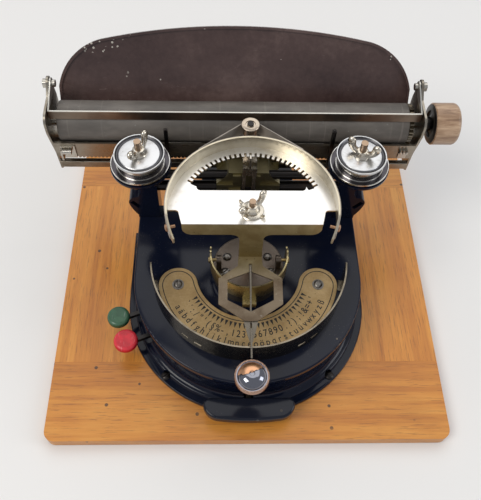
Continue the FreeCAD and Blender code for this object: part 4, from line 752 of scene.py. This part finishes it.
# ---------------------------------------------------------------- CAD pieces with their finishes
DRESSED = {
    "board_panel": "panel", "board_cleats": "cleat",
    "base_casting": "enamel", "base_deck": "enamel", "base_pedestal": "enamel",
    "base_screws": "dark", "index_plate": "index", "index_screws": "grey", "guide_rail": "rail",
    "hub_disc": "disc", "hub_disc_screws": "grey", "yoke": "yoke", "yoke_pins": "brass",
    "sector_frame": "sector", "type_ring": "ring", "type_band": "band", "band_rivets": "rivet",
    "pointer": "lever", "knob_lever": "lever", "selector_knob": "knob", "hub_post": "stud",
    "print_arm": "steel", "print_arm_pin": "steel", "print_roller": "roller",
    "type_band_loop": "band",
    "left_standard": "enamel", "right_standard": "enamel", "ribbon_guides": "dark",
    "cross_rods": "dark", "front_saddle": "saddle", "rear_saddle": "enamel",
    "spool_posts": "stud", "left_spool": "left_spool", "right_spool": "right_spool",
    "left_end_plate": "carriage", "right_end_plate": "carriage", "front_rail": "carriage",
    "rear_rail": "carriage", "paper_pan": "carriage", "spacing_rack": "carriage",
    "carriage_clips": "steel", "platen_rubber": "rubber", "platen_core": "steel",
    "platen_ratchet": "rail", "platen_knob": "turned", "knob_plate": "dark",
    "feed_roll": "felt", "paper_bail": "bail", "bail_studs": "steel", "paper_table": "table",
    "space_bar": "bar", "space_bar_arm": "dark", "green_key": "green",
    "green_key_lever": "dark", "red_key": "red", "red_key_lever": "dark",
}
EDGES = {
    "board_panel": {"bevel": 0.6 * MM},
    "board_cleats": {"bevel": 1.2 * MM, "segments": 3},
    "index_plate": {"bevel": 0.2 * MM},
    "front_saddle": {"bevel": 0.3 * MM},
    "left_end_plate": {"bevel": 0.3 * MM},
    "right_end_plate": {"bevel": 0.3 * MM},
    "selector_knob": {"smooth": 40.0},
}
for dressed_node, dressed_finish in DRESSED.items():
    dress(dressed_node, dressed_finish, **EDGES.get(dressed_node, {}))


# ---------------------------------------------------------------- wing nuts, lids, knob rim, bore
# Turned profiles are (radius, height); ears are (x, z, half width, half thickness). All in mm.
NUT = [(0, 0), (4.3, 0), (4.6, 0.35), (4.6, 1.3), (4.1, 1.9), (3.6, 3.4), (3.3, 4.4), (2.7, 4.7),
       (0, 4.7)]
EAR_FOOT = 2.3
EAR = [(2.2, 2.3, 2.3, 1.9), (3.8, 2.7, 2.2, 1.8), (5.4, 3.7, 2.1, 1.7), (6.6, 5.3, 2.2, 1.7),
       (7.3, 7.2, 2.4, 1.75), (7.6, 9.2, 2.5, 1.7), (7.7, 10.6, 2.3, 1.5), (7.7, 11.5, 1.6, 1.1),
       (7.7, 11.95, 0.6, 0.4)]
WASHER_HIGH = 0.9
WASHER = [(0, 0), (7.0, 0), (7.0, 0.7), (6.7, WASHER_HIGH), (0, WASHER_HIGH)]
WASHER_TAB = [(5.0, 0.5, 0.25, 1.5), (7.0, 0.8, 0.25, 1.4), (8.6, 1.6, 0.25, 1.1),
              (9.4, 2.9, 0.2, 0.7)]
HUB_NUT_TURN = 38.0
SPOOL_NUT_SIZE = 1.06
LID = [(0.0, 0.0), (15.2, 0.0), (15.6, 0.25), (15.7, 0.7), (15.7, 1.7), (15.5, 1.95), (15.1, 2.0),
       (14.7, 1.85), (14.4, 1.35), (14.0, 1.0), (13.6, 0.95), (13.1, 0.95), (12.8, 1.1),
       (12.6, 1.35), (12.2, 1.45), (2.4, 1.5), (0.0, 1.5)]
BORE = [(0, 0), (2.05, 0), (2.05, 0.72), (0, 0.72)]
BEADS = 76
BEAD_RADIUS = 0.46 * MM
BEADS_RADIUS = 9.85 * MM


def turned_to(degrees):
    return Matrix.Rotation(math.radians(degrees), 4, "Z")


def wing_nut(bm, centre, angle, size, ears):
    """Add a turned body with two upswept ears; each ear has its side and its height."""
    place = Matrix.Translation(centre) @ turned_to(angle) @ Matrix.Scale(size, 4)
    turned_into(bm, NUT, place)
    for side, tall in ears:
        tongue(bm, [(side * x, EAR_FOOT + (z - EAR_FOOT) * tall, wide, thick)
                    for x, z, wide, thick in EAR], place)


hub_nut = bmesh.new()
hub_nut_foot = Vector((0.0, 0.0, HUB_NUT_LOW))
turned_into(hub_nut, WASHER, Matrix.Translation(hub_nut_foot))
wing_nut(hub_nut, hub_nut_foot + Vector((0, 0, WASHER_HIGH * MM)), HUB_NUT_TURN, 1.0,
         ((1, 1.0), (-1, 0.62)))
for tab_turn in (-HUB_NUT_TURN, 180 - HUB_NUT_TURN):
    tongue(hub_nut, WASHER_TAB, Matrix.Translation(hub_nut_foot) @ turned_to(tab_turn))
settle(from_bmesh("hub_wing_nut_piece", hub_nut, 35.0), "hub_wing_nut", "nut", ("hub_wing_nut",))

spool_nuts = bmesh.new()
for nut_x, nut_turn, nut_ears in ((-SPOOL_X, 62.0, ((1, 1.0), (-1, 0.70))),
                                  (SPOOL_X, 152.0, ((1, 0.95), (-1, 0.95)))):
    wing_nut(spool_nuts, (nut_x, SPOOL_Y, SPOOL_NUT_LOW), nut_turn, SPOOL_NUT_SIZE, nut_ears)
settle(from_bmesh("spool_wing_nuts_piece", spool_nuts, 35.0), "spool_wing_nuts", "nut",
       ("spool_wing_nuts",))

for side_name, lid_x in (("left", -SPOOL_X), ("right", SPOOL_X)):
    lid_node = side_name + "_spool_cover"
    lid = lathe(lid_node + "_piece", LID, (lid_x, SPOOL_Y, COVER_LOW), 96, 40.0)
    settle(lid, lid_node, side_name + "_cover", (lid_node,))

grain = bmesh.new()
bmesh.ops.create_icosphere(grain, subdivisions=2, radius=BEAD_RADIUS)
beads = ring_of("knob_beads", from_bmesh("bead", grain, 60.0), BEADS, BEADS_RADIUS, 0.0,
                360.0 / BEADS, KNOB_RIM, "bead")
beads.data.transform(Matrix.Translation(KNOB_CENTRE))
settle(beads, "selector_knob", "bead")

settle(lathe("roller_bore", BORE, (0.0, ROLLER_Y, ROLLER_TOP)), "print_roller", "dark")


# ---------------------------------------------------------------- markings on the index
ENGRAVE_LOW = INDEX_TOP - 0.02 * MM
ENGRAVE_HIGH = INDEX_TOP + 0.05 * MM
ENGRAVE_THICK = 0.07 * MM
LETTER_OFFSET = 0.07 * MM       # makes the strokes of a character wider
LINE_INSETS = (2.35 * MM, 2.95 * MM)
WEDGE = [(-1.95 * MM, 1.02 * MM), (-1.95 * MM, -1.02 * MM), (2.15 * MM, 0.0)]
WEDGES_RADIUS = 41.25 * MM
# The two rows of signs: characters, radius of the line they stand on, size, width against height.
SIGN_ROWS = (
    ("`´:/\"'(§%-,1234567890.?);!&=+'", 49.2 * MM, 6.8 * MM, 0.80),
    ("aäbdfghijklmnceoöpqrstuüvwxyzß", 55.5 * MM, 6.6 * MM, 0.84),
)


def sign(character, size, narrow):
    """One character as a mesh, centred on its own width, standing on its line."""
    curve = bpy.data.curves.new("sign", "FONT")
    curve.body = character
    curve.size = size
    curve.extrude = ENGRAVE_THICK / 2
    curve.offset = LETTER_OFFSET
    curve.align_x = "CENTER"
    curve.resolution_u = 3
    obj = link("sign", curve)
    bpy.context.view_layer.update()
    mesh = evaluated_mesh(obj)
    bpy.data.objects.remove(obj)
    mesh.transform(Matrix.Diagonal((narrow, 1.0, 1.0, 1.0)))
    return mesh


def index_signs():
    """All signs of the index gathered into one mesh."""
    bm = bmesh.new()
    middle = (ENGRAVE_LOW + ENGRAVE_HIGH) / 2
    for text, radius, size, narrow in SIGN_ROWS:
        for number, character in enumerate(text):
            mesh = sign(character, size, narrow)
            mesh.transform(turned_to((number - LEFT_SIGNS) * COMB_PITCH)
                           @ Matrix.Translation((0, -radius, middle)))
            bm.from_mesh(mesh)
            bpy.data.meshes.remove(mesh)
    bmesh.ops.remove_doubles(bm, verts=bm.verts, dist=1e-7)
    for face in bm.faces:
        face.smooth = False
    return to_object("index_signs", bm)


settle(loop_strip("index_line", crescent(LINE_INSETS[0]), crescent(LINE_INSETS[1]),
                  ENGRAVE_LOW, ENGRAVE_HIGH), "index_plate", "ink")
settle(ring_of("index_wedges", prism("wedge", WEDGE, 0.0, ENGRAVE_THICK), SIGNS, WEDGES_RADIUS,
               270 - LEFT_SIGNS * COMB_PITCH, COMB_PITCH, ENGRAVE_LOW, "ink"),
       "index_plate", "ink")
settle(index_signs(), "index_plate", "ink")


# ---------------------------------------------------------------- stage, light and camera
FLOOR_HALF = 6
FLOOR_TOP = -0.0004
floor_mesh = bpy.data.meshes.new("floor")
floor_mesh.from_pydata([(x * FLOOR_HALF, y * FLOOR_HALF, FLOOR_TOP)
                        for x, y in ((-1, -1), (1, -1), (1, 1), (-1, 1))], [], [(0, 1, 2, 3)])
floor = link("floor", floor_mesh)
floor.data.materials.append(plain_stage("pale_floor", (0.80, 0.79, 0.77)))


def lamp(name, place, aim, size, power, colour):
    data = bpy.data.lights.new(name, "AREA")
    data.shape = "RECTANGLE"
    data.size, data.size_y = size
    data.energy = power
    data.color = colour
    turned = (Vector(aim) - Vector(place)).to_track_quat("-Z", "Y").to_matrix().to_4x4()
    link(name, data).matrix_world = Matrix.Translation(place) @ turned


lamp("sky_panel", (0.10, 0.95, 1.55), (0, 0, 0.08), (2.0, 1.5), 12.0, (1.0, 0.985, 0.96))
lamp("key_panel", (-0.9, -0.5, 1.3), (0, 0, 0.05), (0.7, 0.7), 11.0, (1.0, 0.97, 0.92))
lamp("side_panel", (1.3, -0.2, 0.8), (0, 0, 0.08), (0.5, 0.9), 5.0, (0.95, 0.97, 1.0))

world = bpy.data.worlds.new("studio")
bpy.context.scene.world = world
world.use_nodes = True
background = world.node_tree.nodes["Background"].inputs
background["Color"].default_value = (0.92, 0.94, 1.0, 1.0)
background["Strength"].default_value = 0.46

camera_data = bpy.data.cameras.new("view")
camera_data.sensor_fit = "HORIZONTAL"
camera_data.sensor_width = 36.0
camera_data.lens = 46.4
camera_data.clip_start = 0.01
camera = link("view", camera_data)
right = Vector((0.99959, -0.01340, 0.02552))
up = Vector((-0.00230, 0.84538, 0.53415))
back = Vector((-0.02873, -0.53399, 0.84500))
camera.matrix_world = (Matrix.Translation((-17.2 * MM, -213.0 * MM, 413.2 * MM))
                       @ Matrix((right, up, back)).transposed().to_4x4())
bpy.context.scene.camera = camera
bpy.context.scene.view_settings.view_transform = "Standard"
